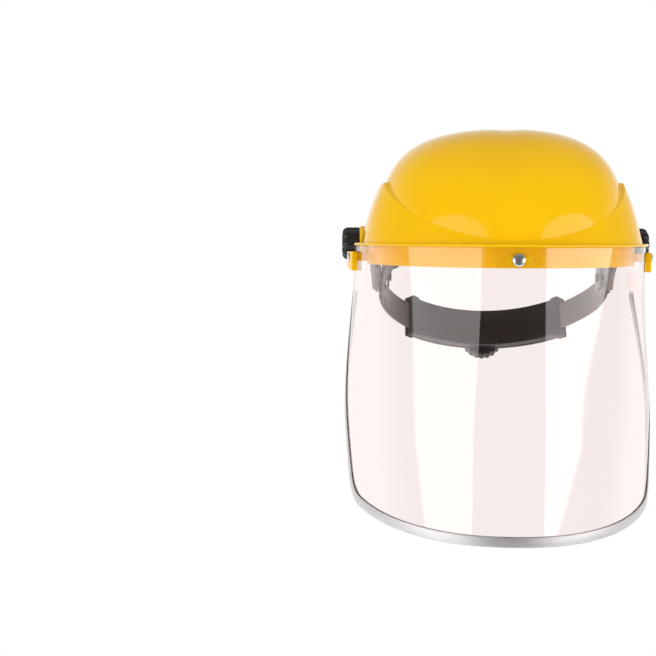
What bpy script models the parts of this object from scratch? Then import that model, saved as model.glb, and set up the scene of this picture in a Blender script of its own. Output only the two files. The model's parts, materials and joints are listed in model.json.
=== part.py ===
"""Industrial face shield: a tilting browguard with a clear visor on ratchet headgear.

Units are metres, +Z is up and the wearer faces -Y. The origin is the middle of the
tilt axis, level with the lip of the browguard. Left means the -X side.
"""
import bisect
import math

import bmesh
import bpy
from mathutils import Matrix, Vector

# Fits between neighbouring pieces
FIT_GAP = 0.0003
EMBED = 0.0006

# Visor sheet, an ellipse seen from above that flares downwards
VISOR_HALF_WIDTH = 0.107
VISOR_DEPTH = 0.140
VISOR_CENTRE_Y = -0.015
VISOR_REAR_Y = 0.008
VISOR_THICK = 0.001
VISOR_HEIGHT = 0.194
VISOR_FLARE = 0.0062
VISOR_FRONT_PULL = 0.0050
FLARE_START = 0.020
FLARE_LENGTH = 0.110
VISOR_CORNER_RADIUS = 0.030
VISOR_BOTTOM_FLAT = 0.020
VISOR_BOTTOM_RADIUS = 0.640
VISOR_EDGE_LEAN = math.radians(25)
VISOR_REAR_DROP = 0.021
VISOR_SHOULDER = 0.012
VISOR_TIP = 0.006
SLOT_LENGTH = 0.017
SLOT_HEIGHT = 0.0062

# Metal edging of the visor
TRIM_FACE = 0.0070
TRIM_WALL = 0.0006
TRIM_TOP_GAP = 0.010

# Browguard: lip, front band and dome
LIP_THICK = 0.002
LIP_HALF_WIDTH = 0.109
LIP_OVERHANG = 0.002
LIP_REAR_Y = -0.048
BAND_HEIGHT = 0.0133
BAND_WALL = 0.0022
BAND_SIDE_INSET = 0.0064
BAND_REAR_Y = -0.046
SHELL_WALL = 0.0022
DOME_HEIGHT = 0.0822
DOME_CENTRE_Y = -0.030
DOME_FRONT_SETBACK = 0.0035
DOME_REAR_REACH = 0.260
DOME_POWER = 2.9
SHELL_REAR_Y = 0.014
WING_TOP_PROUD = 0.0036
WING_BASE_PROUD = 0.0112
WING_FLARE_POWER = 1.2
WING_SIDE_Z = 0.043
WING_FRONT_Z = 0.003
WING_FRONT_SHARE = 0.10
WING_RISE_ANGLE = math.radians(75)
WING_RISE_POWER = 1.8
WING_STEP = 0.0014

# Ears that hold the visor's sides
EAR_FRONT_Y = -0.050
EAR_DEPTH = 0.017
EAR_LEG = 0.004
EAR_SPLAY = 0.0012
EAR_BOTTOM_RISE = 0.002
EAR_TOP_Z = -0.0055
EAR_BOTTOM_Z = -0.0195
EAR_ARM_DEPTH = 0.0045
EAR_ARM_HEIGHT = 0.0065

# Rivets of the visor
FRONT_RIVET_Z = -0.009
FRONT_RIVET_HEAD = 0.0042
FRONT_RIVET_DOME = 0.0022
SIDE_RIVET_Z = -0.0095
SIDE_RIVET_BACK = 0.0105
SIDE_RIVET_HEAD = 0.0033
SIDE_RIVET_DOME = 0.0016
RIVET_SHANK = 0.0018
WASHER_THICK = 0.0008
RIVET_TAIL = 0.0008
RIVET_TAIL_RADIUS = 0.0031
RIVET_TAIL_END = 0.0022

# Tilt pivots
PIVOT_STANDOFF = 0.0165
LUG_RADIUS = 0.0135
LUG_THICK = 0.006
LUG_PROUD = 0.002
PIVOT_BOLT_RADIUS = 0.003
PIVOT_HEAD_RADIUS = 0.0055
PIVOT_HEAD_THICK = 0.0018
FRICTION_RADIUS = 0.010
FRICTION_THICK = 0.0014
KNOB_RADIUS = 0.0124
KNOB_LENGTH = 0.0134
KNOB_LOBES = 8
KNOB_LOBE_DEPTH = 0.0011
KNOB_CAP_THICK = 0.003
KNOB_ROUND_OVER = 0.0034
KNOB_ROUND_STEP = 0.0010
NUT_RADIUS = 0.0062
NUT_LENGTH = 0.006

# Pivot brackets
BRACKET_THICK = 0.0025
BRACKET_RADIUS = 0.0115
BRACKET_BEND_Z = -0.010
BRACKET_FLANGE = 0.0022
FOOT_WIDTH = 0.014
FOOT_HEIGHT = 0.010

# Headband ring, drawn flat in its own tilted frame
RING_HALF_WIDTH = 0.086
RING_FRONT = 0.108
RING_Y = 0.008
RING_Z = -0.0293
RING_TILT = math.radians(30)
BAND_STRIP_THICK = 0.0018
BROW_HEIGHT = 0.024
BROW_END_ANGLE = math.radians(101)
PAD_THICK = 0.005
PAD_HEIGHT = 0.028
PAD_END_ANGLE = math.radians(68)
PAD_END_HEIGHT = 0.021
PAD_END_THICK = 0.0025
PAD_HEIGHT_POWER = 8
PAD_THICK_POWER = 6
STRAP_THICK = 0.0017
STRAP_HEIGHT = 0.022
STRAP_START_V = -0.003
STRAP_OVERLAP = 0.030
STRAP_DIP_START = math.radians(104)
STRAP_DIP_ANGLE = math.radians(22)
RACK_SLOT = 0.045
STUD_V = 0.006
STUD_RADIUS = 0.0022
STUD_HEAD = 0.0042
STUD_HEAD_THICK = 0.0014
STUD_HEAD_FACE = 0.0030
STUD_UPSET = 0.0034

# Strap over the head
CROWN_STRAP_WIDTH = 0.018
CROWN_STRAP_THICK = 0.0015
CROWN_STRAP_V = -0.008
CROWN_STRAP_TOP_Z = 0.066
CROWN_STRAP_POWER = 2.4
CROWN_STRAP_OVERLAP = math.radians(24)
CROWN_DIP_START = math.radians(40)
CROWN_DIP_ANGLE = math.radians(20)
CROWN_END_TAPER = 0.8
CROWN_FOOT_ANGLE = 0.02
CROWN_TAB_DROP = 0.008
CROWN_HOLE_PITCH = math.radians(9)
CROWN_HOLES = 4
CROWN_PEG_RADIUS = 0.0024

# Rear ratchet
HOUSING_HALF_ANGLE = math.radians(46.5)
HOUSING_HEIGHT = 0.031
HOUSING_FLANGE_ANGLE = math.radians(5)
HOUSING_FLANGE_RISE = 0.0015
FLANGE_STEP = math.radians(0.6)
HOUSING_WALL = 0.0024
COVER_THICK = 0.0025
DIAL_DROP = 0.003
DIAL_RADIUS = 0.0172
DIAL_LENGTH = 0.011
DIAL_RIBS = 20
DIAL_RIB_DEPTH = 0.0008
DIAL_WALL = 0.0024
PINION_TEETH = 8
PINION_PITCH_RADIUS = 0.005
TOOTH_HALF_DEPTH = 0.0009
TOOTH_GAP = 0.0006
PINION_SHAFT = 0.0026
DETENT_RADIUS = 0.0095
DETENT_THICK = 0.0016
SCREW_HEAD = 0.004
SCREW_HEAD_THICK = 0.0016
SCREW_SHANK = 0.0013

# Mesh fineness
ROUND_SIDES = 16
LUG_SIDES = 32
VISOR_ROWS = 8
SHELL_COLUMNS = 56
WING_ROWS = 3
DOME_ROWS = 6

# Places that follow from the sizes
LIP_BOTTOM_Z = -LIP_THICK / 2
VISOR_TOP_Z = LIP_BOTTOM_Z - FIT_GAP
VISOR_BOTTOM_Z = VISOR_TOP_Z - VISOR_HEIGHT
VISOR_INNER = -VISOR_THICK
SEAT = VISOR_INNER - FIT_GAP
BAND_FRONT_REACH = VISOR_DEPTH + SEAT
BAND_HALF_WIDTH = VISOR_HALF_WIDTH + SEAT - BAND_SIDE_INSET
EAR_SEAT = FIT_GAP + EAR_LEG
PIVOT_HALF_WIDTH = RING_HALF_WIDTH + PIVOT_STANDOFF
DOME_HALF_WIDTH = PIVOT_HALF_WIDTH - LUG_PROUD - WING_BASE_PROUD
DOME_FRONT_REACH = BAND_FRONT_REACH - VISOR_CENTRE_Y - DOME_FRONT_SETBACK + DOME_CENTRE_Y
LIP_DEPTH = LIP_OVERHANG - SEAT + DOME_FRONT_SETBACK + SHELL_WALL / 2
LUG_INNER = PIVOT_HALF_WIDTH - LUG_THICK
FRICTION_OUTER = LUG_INNER - FIT_GAP
BRACKET_OUTER = FRICTION_OUTER - FRICTION_THICK - FIT_GAP
BRACKET_INNER = BRACKET_OUTER - BRACKET_THICK
KNOB_INNER = PIVOT_HALF_WIDTH + FIT_GAP
STRAP_OUTER = FIT_GAP + STRAP_THICK
RING_FRAME = Matrix.Translation((0, RING_Y, RING_Z)) @ Matrix.Rotation(-RING_TILT, 4, 'X')
FOOT_INNER = RING_HALF_WIDTH + STRAP_OUTER + FIT_GAP
STRAP_LAYER = -BAND_STRIP_THICK
CHANNEL_IN = STRAP_LAYER - FIT_GAP
CHANNEL_OUT = STRAP_OUTER + FIT_GAP
SIDES = (("left", -1), ("right", 1))


def clear_scene():
    for obj in list(bpy.data.objects):
        bpy.data.objects.remove(obj, do_unlink=True)


def make_material(name, colour, roughness, metallic=0.0, alpha=1.0):
    mat = bpy.data.materials.new(name)
    mat.use_nodes = True
    shader = mat.node_tree.nodes["Principled BSDF"]
    shader.inputs["Base Color"].default_value = (*colour, 1.0)
    shader.inputs["Roughness"].default_value = roughness
    shader.inputs["Metallic"].default_value = metallic
    shader.inputs["Alpha"].default_value = alpha
    mat.diffuse_color = (*colour, alpha)
    return mat


def smooth_step(x):
    x = min(max(x, 0.0), 1.0)
    return x * x * (3 - 2 * x)


def spread(low, high, count):
    return [low + (high - low) * i / count for i in range(count + 1)]


def make_object(name, points, faces, mat=None, parent=None):
    mesh = bpy.data.meshes.new(name)
    mesh.from_pydata([tuple(p) for p in points], [], faces)
    bm = bmesh.new()
    bm.from_mesh(mesh)
    bmesh.ops.recalc_face_normals(bm, faces=bm.faces)
    bm.to_mesh(mesh)
    bm.free()
    mesh.shade_smooth()
    mesh.set_sharp_from_angle(angle=math.radians(35))
    obj = bpy.data.objects.new(name, mesh)
    bpy.context.scene.collection.objects.link(obj)
    obj.parent = parent
    if mat is None:
        obj.hide_render = True
        obj.display_type = 'WIRE'
    else:
        mesh.materials.append(mat)
    return obj


def combine(obj, tool, operation):
    modifier = obj.modifiers.new(operation.lower(), 'BOOLEAN')
    modifier.operation = operation
    modifier.object = tool
    modifier.solver = 'EXACT'


def slab(name, us, span, point, rows=1, mat=None, parent=None):
    """Closed plate over columns us; span(u) gives its w range, point(u, w, t) its two faces."""
    points = []
    for t in (0, 1):
        for u in us:
            points += [point(u, w, t) for w in spread(*span(u), rows)]
    per_face = len(us) * (rows + 1)
    faces = []
    for i in range(len(us) - 1):
        for j in range(rows):
            a = i * (rows + 1) + j
            b = a + rows + 1
            faces.append((a, b, b + 1, a + 1))
            faces.append((per_face + a, per_face + a + 1, per_face + b + 1, per_face + b))
    border = [i * (rows + 1) for i in range(len(us))]
    border += [per_face - rows - 1 + j for j in range(1, rows + 1)]
    border += [i * (rows + 1) + rows for i in range(len(us) - 2, -1, -1)]
    border += [j for j in range(rows - 1, 0, -1)]
    for k, a in enumerate(border):
        b = border[(k + 1) % len(border)]
        faces.append((a, b, per_face + b, per_face + a))
    return make_object(name, points, faces, mat, parent)


def turned(name, frame, profile, mat=None, parent=None, sides=ROUND_SIDES, shape=None):
    """Solid of revolution about frame's Z; profile is (radius, height), from axis to axis or a loop."""
    points = []
    rings = []
    for k, (radius, height) in enumerate(profile):
        if k == len(profile) - 1 and profile[0] == profile[-1]:
            rings.append(rings[0])
            continue
        if radius == 0:
            rings.append([len(points)])
            points.append(frame @ Vector((0, 0, height)))
            continue
        ring = []
        for side in range(sides):
            angle = 2 * math.pi * side / sides
            r = radius if shape is None else shape(radius, height, angle)
            ring.append(len(points))
            points.append(frame @ Vector((r * math.cos(angle), r * math.sin(angle), height)))
        rings.append(ring)
    faces = []
    for low, high in zip(rings, rings[1:]):
        if len(low) == len(high) == 1:
            continue
        for k in range(sides):
            n = (k + 1) % sides
            if len(low) == 1:
                faces.append((low[0], high[k], high[n]))
            elif len(high) == 1:
                faces.append((low[k], low[n], high[0]))
            else:
                faces.append((low[k], low[n], high[n], high[k]))
    return make_object(name, points, faces, mat, parent)


def rod(name, frame, radius, low, high, mat=None, parent=None, sides=ROUND_SIDES):
    return turned(name, frame, [(0, low), (radius, low), (radius, high), (0, high)], mat, parent, sides)


def ring_profile(inner, outer, low, high):
    return [(inner, low), (outer, low), (outer, high), (inner, high)]


def tube(name, frame, inner, outer, low, high, mat=None, parent=None, sides=ROUND_SIDES):
    profile = ring_profile(inner, outer, low, high)
    return turned(name, frame, profile + profile[:1], mat, parent, sides)


def looking(origin, direction):
    """Frame at origin whose Z runs along direction."""
    rotation = Vector(direction).to_track_quat('Z', 'Y').to_matrix().to_4x4()
    return Matrix.Translation(origin) @ rotation


class PlanEllipse:
    """Ellipse seen from above, measured along its arc from the front; offsets run outwards."""

    def __init__(self, half_width, depth, centre_y):
        self.half_width = half_width
        self.depth = depth
        self.centre_y = centre_y
        self.angles = spread(0.0, math.radians(140), 700)
        self.lengths = [0.0]
        for a, b in zip(self.angles, self.angles[1:]):
            middle = (a + b) / 2
            speed = math.hypot(half_width * math.cos(middle), depth * math.sin(middle))
            self.lengths.append(self.lengths[-1] + speed * (b - a))

    def angle(self, s):
        size = abs(s)
        k = min(max(bisect.bisect(self.lengths, size), 1), len(self.lengths) - 1)
        share = (size - self.lengths[k - 1]) / (self.lengths[k] - self.lengths[k - 1])
        angle = self.angles[k - 1] + share * (self.angles[k] - self.angles[k - 1])
        return math.copysign(angle, s)

    def length_at_y(self, y):
        angle = math.acos((self.centre_y - y) / self.depth)
        k = bisect.bisect(self.angles, angle)
        share = (angle - self.angles[k - 1]) / (self.angles[k] - self.angles[k - 1])
        return self.lengths[k - 1] + share * (self.lengths[k] - self.lengths[k - 1])

    def point(self, s, offset, z, widen=0.0, shorten=0.0):
        angle = self.angle(s)
        a = self.half_width + widen
        b = self.depth - shorten
        normal = Vector((math.sin(angle) / a, -math.cos(angle) / b)).normalized()
        x = a * math.sin(angle) + normal.x * offset
        y = self.centre_y - b * math.cos(angle) + normal.y * offset
        return Vector((x, y, z))

    def normal(self, s):
        angle = self.angle(s)
        direction = Vector((math.sin(angle) / self.half_width, -math.cos(angle) / self.depth, 0))
        return direction.normalized()


VISOR_PLAN = PlanEllipse(VISOR_HALF_WIDTH, VISOR_DEPTH, VISOR_CENTRE_Y)
BAND_PLAN = PlanEllipse(BAND_HALF_WIDTH, BAND_FRONT_REACH, VISOR_CENTRE_Y)
LIP_PLAN = PlanEllipse(LIP_HALF_WIDTH, VISOR_DEPTH + LIP_OVERHANG, VISOR_CENTRE_Y)
VISOR_END = VISOR_PLAN.length_at_y(VISOR_REAR_Y)
EAR_START = VISOR_PLAN.length_at_y(EAR_FRONT_Y)
EAR_END = EAR_START + EAR_DEPTH


def visor_point(s, z, offset):
    flare = smooth_step((-z - FLARE_START) / FLARE_LENGTH)
    return VISOR_PLAN.point(s, offset, z, VISOR_FLARE * flare, VISOR_FRONT_PULL * flare)


def bottom_turn():
    """Angle that the bottom's long arc turns through so that the leaning edge meets the rear tip."""
    rise = math.pi / 2 - VISOR_EDGE_LEAN
    low, high = 0.0, rise
    for _ in range(60):
        turn = (low + high) / 2
        s = VISOR_BOTTOM_FLAT + VISOR_BOTTOM_RADIUS * math.sin(turn)
        s += VISOR_CORNER_RADIUS * (math.sin(rise) - math.sin(turn))
        z = VISOR_BOTTOM_Z + VISOR_BOTTOM_RADIUS * (1 - math.cos(turn))
        z += VISOR_CORNER_RADIUS * (math.cos(turn) - math.cos(rise))
        s += (VISOR_TOP_Z - VISOR_REAR_DROP - VISOR_TIP - z) * math.tan(VISOR_EDGE_LEAN)
        if s > VISOR_END:
            high = turn
        else:
            low = turn
    return low


def edge_path():
    """Right half of the visor's free edge from the centre: (s, z, heading from the s axis)."""
    turn = bottom_turn()
    rise = math.pi / 2 - VISOR_EDGE_LEAN
    path = [(s, VISOR_BOTTOM_Z, 0.0) for s in spread(VISOR_BOTTOM_FLAT / 5, VISOR_BOTTOM_FLAT, 2)]
    arcs = ((VISOR_BOTTOM_RADIUS, 0.0, turn, 8), (VISOR_CORNER_RADIUS, turn, rise, 6))
    for radius, start, end, steps in arcs:
        s, z, _ = path[-1]
        for a in spread(start, end, steps)[1:]:
            along = radius * (math.sin(a) - math.sin(start))
            up = radius * (math.cos(start) - math.cos(a))
            path.append((s + along, z + up, a))
    s, z, _ = path[-1]
    for share in spread(0.0, 1.0, 8)[1:]:
        edge_s = s + share * (VISOR_END - s)
        path.append((edge_s, z + (edge_s - s) / math.tan(VISOR_EDGE_LEAN), rise))
    return path


VISOR_EDGE = edge_path()


def visor_low(s):
    """Height of the visor's free edge at an arc length."""
    size = abs(s)
    for (s0, z0, _), (s1, z1, _) in zip(VISOR_EDGE, VISOR_EDGE[1:]):
        if size <= s1:
            return z0 + (z1 - z0) * max(size - s0, 0.0) / (s1 - s0)
    return VISOR_EDGE[-1][1]


def visor_high(s):
    return VISOR_TOP_Z - VISOR_REAR_DROP * smooth_step((abs(s) - EAR_END) / VISOR_SHOULDER)


def build_visor(mat):
    half = sorted([s for s, _, _ in VISOR_EDGE] + spread(EAR_END, EAR_END + VISOR_SHOULDER, 3))
    columns = [-s for s in reversed(half)] + half

    def point(s, z, t):
        return visor_point(s, z, -VISOR_THICK * (1 - t))

    visor = slab("visor", columns, lambda s: (visor_low(s), visor_high(s)), point, VISOR_ROWS, mat)
    half_slot = SLOT_LENGTH / 2 - SLOT_HEIGHT / 2
    outline = []
    for centre, start in ((half_slot, -math.pi / 2), (-half_slot, math.pi / 2)):
        for a in spread(start, start + math.pi, 6):
            x = centre + SLOT_HEIGHT / 2 * math.cos(a)
            outline.append((x, FRONT_RIVET_Z + SLOT_HEIGHT / 2 * math.sin(a)))
    front = VISOR_CENTRE_Y - VISOR_DEPTH
    reach = BAND_WALL + VISOR_THICK
    points = [(x, front + y, z) for y in (-reach, reach) for x, z in outline]
    count = len(outline)
    faces = [tuple(range(count)), tuple(range(2 * count - 1, count - 1, -1))]
    faces += [(k, (k + 1) % count, count + (k + 1) % count, count + k) for k in range(count)]
    combine(visor, make_object("visor_slot_tool", points, faces), 'DIFFERENCE')
    for side, sign in SIDES:
        hole = rod(side + "_visor_hole_tool", side_rivet_frame(sign), RIVET_SHANK + FIT_GAP,
                   -3 * EAR_LEG, EAR_LEG)
        combine(visor, hole, 'DIFFERENCE')
        notch = ear_arm(side + "_notch_tool", sign, FIT_GAP, EAR_ARM_HEIGHT)
        combine(visor, notch, 'DIFFERENCE')
    return visor


def build_trim(mat):
    edge = FIT_GAP + TRIM_WALL
    reach = TRIM_FACE - edge
    section = [(-edge, edge), (reach, edge), (reach, FIT_GAP), (-FIT_GAP, FIT_GAP)]
    section += [(d, VISOR_INNER - t) for d, t in reversed(section)]
    top = VISOR_EDGE[-1][1] - TRIM_TOP_GAP
    half = [station for station in VISOR_EDGE if station[1] < top - TRIM_TOP_GAP / 2]
    s, z, heading = VISOR_EDGE[-1]
    half.append((s - TRIM_TOP_GAP * math.tan(VISOR_EDGE_LEAN), top, heading))
    stations = [(-s, z, math.pi - heading) for s, z, heading in reversed(half)] + half
    points = []
    for s, z, heading in stations:
        ds = -math.sin(heading) if s > 0 else math.sin(heading)
        dz = abs(math.cos(heading))
        points += [visor_point(s + ds * d, z + dz * d, t) for d, t in section]
    count = len(section)
    faces = [tuple(range(count)), tuple(range(len(points) - 1, len(points) - count - 1, -1))]
    for i in range(len(stations) - 1):
        for k in range(count):
            n = (k + 1) % count
            a = i * count
            faces.append((a + k, a + n, a + count + n, a + count + k))
    return make_object("visor_trim", points, faces, mat)


def wing_edge_z(angle):
    share = min(abs(angle) / WING_RISE_ANGLE, 1.0)
    return WING_FRONT_Z + (WING_SIDE_Z - WING_FRONT_Z) * share ** WING_RISE_POWER


def wing_proud(angle, z):
    fade = WING_FRONT_SHARE + (1 - WING_FRONT_SHARE) * smooth_step(abs(angle) / WING_RISE_ANGLE)
    below = 1 - min(max(z / wing_edge_z(angle), 0.0), 1.0)
    return fade * (WING_TOP_PROUD + (WING_BASE_PROUD - WING_TOP_PROUD) * below ** WING_FLARE_POWER)


def dome_point(angle, lift, proud, wall):
    """Point of the dome at an elevation parameter, pushed out by proud and in by wall."""
    rear = abs(angle) > math.pi / 2
    reach = (DOME_REAR_REACH if rear else DOME_FRONT_REACH) - wall
    shrink = max(math.cos(lift), 0.0) ** (2 / DOME_POWER)
    a = (DOME_HALF_WIDTH - wall) * shrink
    b = reach * shrink
    normal = Vector((math.sin(angle) / max(a, 1e-6), -math.cos(angle) / max(b, 1e-6))).normalized()
    x = a * math.sin(angle) + normal.x * proud
    y = DOME_CENTRE_Y - b * math.cos(angle) + normal.y * proud
    return Vector((x, y, (DOME_HEIGHT - wall) * max(math.sin(lift), 0.0) ** (2 / DOME_POWER)))


def lift_of(z):
    return math.asin(min(z / DOME_HEIGHT, 1.0) ** (DOME_POWER / 2))


def shell_column(angle, wall):
    """Points from the base of the dome to the last row below the crest."""
    edge = wing_edge_z(angle)
    column = []
    base = dome_point(angle, 0.0, wing_proud(angle, 0.0), wall)
    column.append(Vector((base.x, base.y, LIP_BOTTOM_Z / 2)))
    for z in spread(0.0, edge, WING_ROWS)[1:]:
        column.append(dome_point(angle, lift_of(z), wing_proud(angle, z), wall))
    start = lift_of(edge + WING_STEP)
    column += [dome_point(angle, lift, 0.0, wall) for lift in spread(start, math.pi / 2, DOME_ROWS)[:-1]]
    return column


def build_shell_body(mat):
    angles = [2 * math.pi * (k + 0.5) / SHELL_COLUMNS - math.pi for k in range(SHELL_COLUMNS)]
    points = []
    for wall in (0.0, SHELL_WALL):
        for angle in angles:
            points += shell_column(angle, wall)
    rows = len(points) // (2 * SHELL_COLUMNS)
    per_face = rows * SHELL_COLUMNS
    crests = (len(points), len(points) + 1)
    points.append(Vector((0, DOME_CENTRE_Y, DOME_HEIGHT)))
    points.append(Vector((0, DOME_CENTRE_Y, DOME_HEIGHT - SHELL_WALL)))
    faces = []
    for i in range(SHELL_COLUMNS):
        a = i * rows
        b = (i + 1) % SHELL_COLUMNS * rows
        for base, crest in zip((0, per_face), crests):
            for j in range(rows - 1):
                faces.append((base + a + j, base + b + j, base + b + j + 1, base + a + j + 1))
            faces.append((base + a + rows - 1, base + b + rows - 1, crest))
        faces.append((a, b, per_face + b, per_face + a))
    return make_object("crown_shell", points, faces, mat)


def ear_arm(name, sign, grow, extra_top):
    """Arm from the front band out to an ear, larger all round by grow and taller by extra_top."""
    columns = [sign * s for s in (EAR_START + EMBED - grow, EAR_START + EAR_ARM_DEPTH + grow)]
    low = EAR_TOP_Z - EAR_ARM_HEIGHT - grow
    high = EAR_TOP_Z - EMBED + extra_top
    inner = SEAT - BAND_SIDE_INSET - BAND_WALL / 2
    outer = FIT_GAP + EMBED
    return slab(name, columns, lambda s: (low, high),
                lambda s, w, t: visor_point(s, w, inner + (outer - inner) * t))


def ear_leg(name, sign):
    """Leg that hangs outside the visor, thicker and shorter towards the rear."""
    def back(s):
        return (abs(s) - EAR_START) / EAR_DEPTH

    columns = [sign * s for s in spread(EAR_START, EAR_END, 4)]
    return slab(name, columns, lambda s: (EAR_BOTTOM_Z + EAR_BOTTOM_RISE * back(s), EAR_TOP_Z),
                lambda s, w, t: visor_point(s, w, FIT_GAP + t * (EAR_LEG + EAR_SPLAY * back(s))), 3)


def build_crown(mat):
    shell = build_shell_body(mat)
    reach = DOME_REAR_REACH * 2
    cut = [(x, y, z) for x in (-reach, reach) for y in (SHELL_REAR_Y, reach) for z in (-reach, reach)]
    sides = [(0, 1, 3, 2), (4, 6, 7, 5), (0, 4, 5, 1), (2, 3, 7, 6), (0, 2, 6, 4), (1, 5, 7, 3)]
    combine(shell, make_object("shell_rear_tool", cut, sides), 'DIFFERENCE')

    lip_end = LIP_PLAN.length_at_y(LIP_REAR_Y)
    lip = slab("lip_tool", spread(-lip_end, lip_end, 35), lambda s: (-LIP_DEPTH, 0.0),
               lambda s, w, t: LIP_PLAN.point(s, w, LIP_THICK * (t - 0.5)))
    combine(shell, lip, 'UNION')

    band_end = BAND_PLAN.length_at_y(BAND_REAR_Y)
    band = slab("band_tool", spread(-band_end, band_end, 31),
                lambda s: (LIP_BOTTOM_Z - BAND_HEIGHT, LIP_BOTTOM_Z + EMBED),
                lambda s, w, t: BAND_PLAN.point(s, BAND_WALL * (t - 1), w))
    combine(shell, band, 'UNION')

    for side, sign in SIDES:
        combine(shell, ear_leg(side + "_ear_tool", sign), 'UNION')
        combine(shell, ear_arm(side + "_arm_tool", sign, 0.0, 0.0), 'UNION')
        seat = side_rivet_frame(sign)
        spot = rod(side + "_spot_face_tool", seat, SIDE_RIVET_HEAD + FIT_GAP, 0.0, EAR_LEG)
        combine(shell, spot, 'DIFFERENCE')
        hole = rod(side + "_ear_hole_tool", seat, RIVET_SHANK + FIT_GAP, -3 * EAR_LEG, EAR_LEG)
        combine(shell, hole, 'DIFFERENCE')
        pivot = looking((0, 0, 0), (sign, 0, 0))
        lug = rod(side + "_lug_tool", pivot, LUG_RADIUS, LUG_INNER, PIVOT_HALF_WIDTH, sides=LUG_SIDES)
        combine(shell, lug, 'UNION')
        recess = rod(side + "_recess_tool", pivot, LUG_RADIUS + FIT_GAP, DOME_HALF_WIDTH / 2, LUG_INNER,
                     sides=LUG_SIDES)
        combine(shell, recess, 'DIFFERENCE')
        bore = rod(side + "_bore_tool", pivot, PIVOT_BOLT_RADIUS + FIT_GAP, BRACKET_INNER,
                   KNOB_INNER + LUG_THICK)
        combine(shell, bore, 'DIFFERENCE')
    front = rod("front_hole_tool", front_rivet_frame(), RIVET_SHANK + FIT_GAP, -3 * BAND_WALL, BAND_WALL)
    combine(shell, front, 'DIFFERENCE')
    return shell


def front_rivet_frame():
    """Z runs outwards from the visor's outer face at the front rivet."""
    return looking((0, VISOR_CENTRE_Y - VISOR_DEPTH, FRONT_RIVET_Z), (0, -1, 0))


def side_rivet_frame(sign):
    """Z runs outwards from the rivet's seat on the ear."""
    s = sign * (EAR_START + SIDE_RIVET_BACK)
    return looking(visor_point(s, SIDE_RIVET_Z, EAR_SEAT), VISOR_PLAN.normal(s))


def build_rivet(name, frame, head, dome, grip, mat):
    """Domed rivet: head on the outside, upset tail beyond the washer."""
    profile = [(0, FIT_GAP + dome)]
    profile += [(head * math.sin(a), FIT_GAP + dome * math.cos(a)) for a in spread(0, math.pi / 2, 4)[1:]]
    tail = -grip - 2 * FIT_GAP - WASHER_THICK
    profile += [(RIVET_SHANK, FIT_GAP), (RIVET_SHANK, tail - FIT_GAP), (RIVET_TAIL_RADIUS, tail - FIT_GAP)]
    profile += [(RIVET_TAIL_END, tail - FIT_GAP - RIVET_TAIL), (0, tail - FIT_GAP - RIVET_TAIL)]
    rivet = turned(name + "_rivet", frame, profile, mat)
    washer = tube(name + "_washer", frame, RIVET_SHANK + FIT_GAP, head, tail, tail + WASHER_THICK, mat)
    return rivet, washer


def build_rivets(mat):
    curve_gap = FRONT_RIVET_HEAD ** 2 * BAND_HALF_WIDTH / VISOR_DEPTH ** 2
    build_rivet("front", front_rivet_frame(), FRONT_RIVET_HEAD, FRONT_RIVET_DOME,
                BAND_WALL - SEAT + curve_gap, mat)
    for side, sign in SIDES:
        build_rivet(side + "_visor", side_rivet_frame(sign), SIDE_RIVET_HEAD, SIDE_RIVET_DOME,
                    EAR_SEAT + VISOR_THICK, mat)


def knob_shape(radius, height, angle):
    if radius < KNOB_RADIUS - KNOB_LOBE_DEPTH:
        return radius
    wave = 0.5 - 0.5 * math.cos(KNOB_LOBES * angle)
    return radius - KNOB_LOBE_DEPTH * wave ** 2


def build_pivots(steel, plastic, brass, nylon):
    bolt_end = KNOB_INNER + KNOB_LENGTH - KNOB_CAP_THICK - FIT_GAP
    head = BRACKET_INNER - FIT_GAP
    for side, sign in SIDES:
        pivot = looking((0, 0, 0), (sign, 0, 0))
        profile = [(0, head - PIVOT_HEAD_THICK), (PIVOT_HEAD_RADIUS, head - PIVOT_HEAD_THICK),
                   (PIVOT_HEAD_RADIUS, head), (PIVOT_BOLT_RADIUS, head),
                   (PIVOT_BOLT_RADIUS, bolt_end), (0, bolt_end)]
        turned(side + "_pivot_bolt", pivot, profile, steel)
        tube(side + "_friction_washer", pivot, PIVOT_BOLT_RADIUS + FIT_GAP, FRICTION_RADIUS,
             FRICTION_OUTER - FRICTION_THICK, FRICTION_OUTER, nylon)
        bore = PIVOT_BOLT_RADIUS + FIT_GAP
        nut_low = KNOB_INNER + FIT_GAP
        pocket = nut_low + NUT_LENGTH + FIT_GAP
        end = KNOB_INNER + KNOB_LENGTH
        profile = [(NUT_RADIUS + FIT_GAP, pocket), (NUT_RADIUS + FIT_GAP, KNOB_INNER),
                   (KNOB_RADIUS, KNOB_INNER), (KNOB_RADIUS, end - KNOB_ROUND_OVER),
                   (KNOB_RADIUS - KNOB_ROUND_STEP, end - KNOB_ROUND_STEP),
                   (KNOB_RADIUS - KNOB_ROUND_OVER, end), (0, end), (0, bolt_end + FIT_GAP),
                   (bore, bolt_end + FIT_GAP), (bore, pocket), (NUT_RADIUS + FIT_GAP, pocket)]
        turned(side + "_knob", pivot, profile, plastic, sides=4 * KNOB_LOBES, shape=knob_shape)
        tube(side + "_knob_nut", pivot, bore, NUT_RADIUS, nut_low, nut_low + NUT_LENGTH, brass, sides=12)


def ring_to_world(v, x=0.0, w=0.0):
    return RING_FRAME @ Vector((x, v, w))


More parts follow.
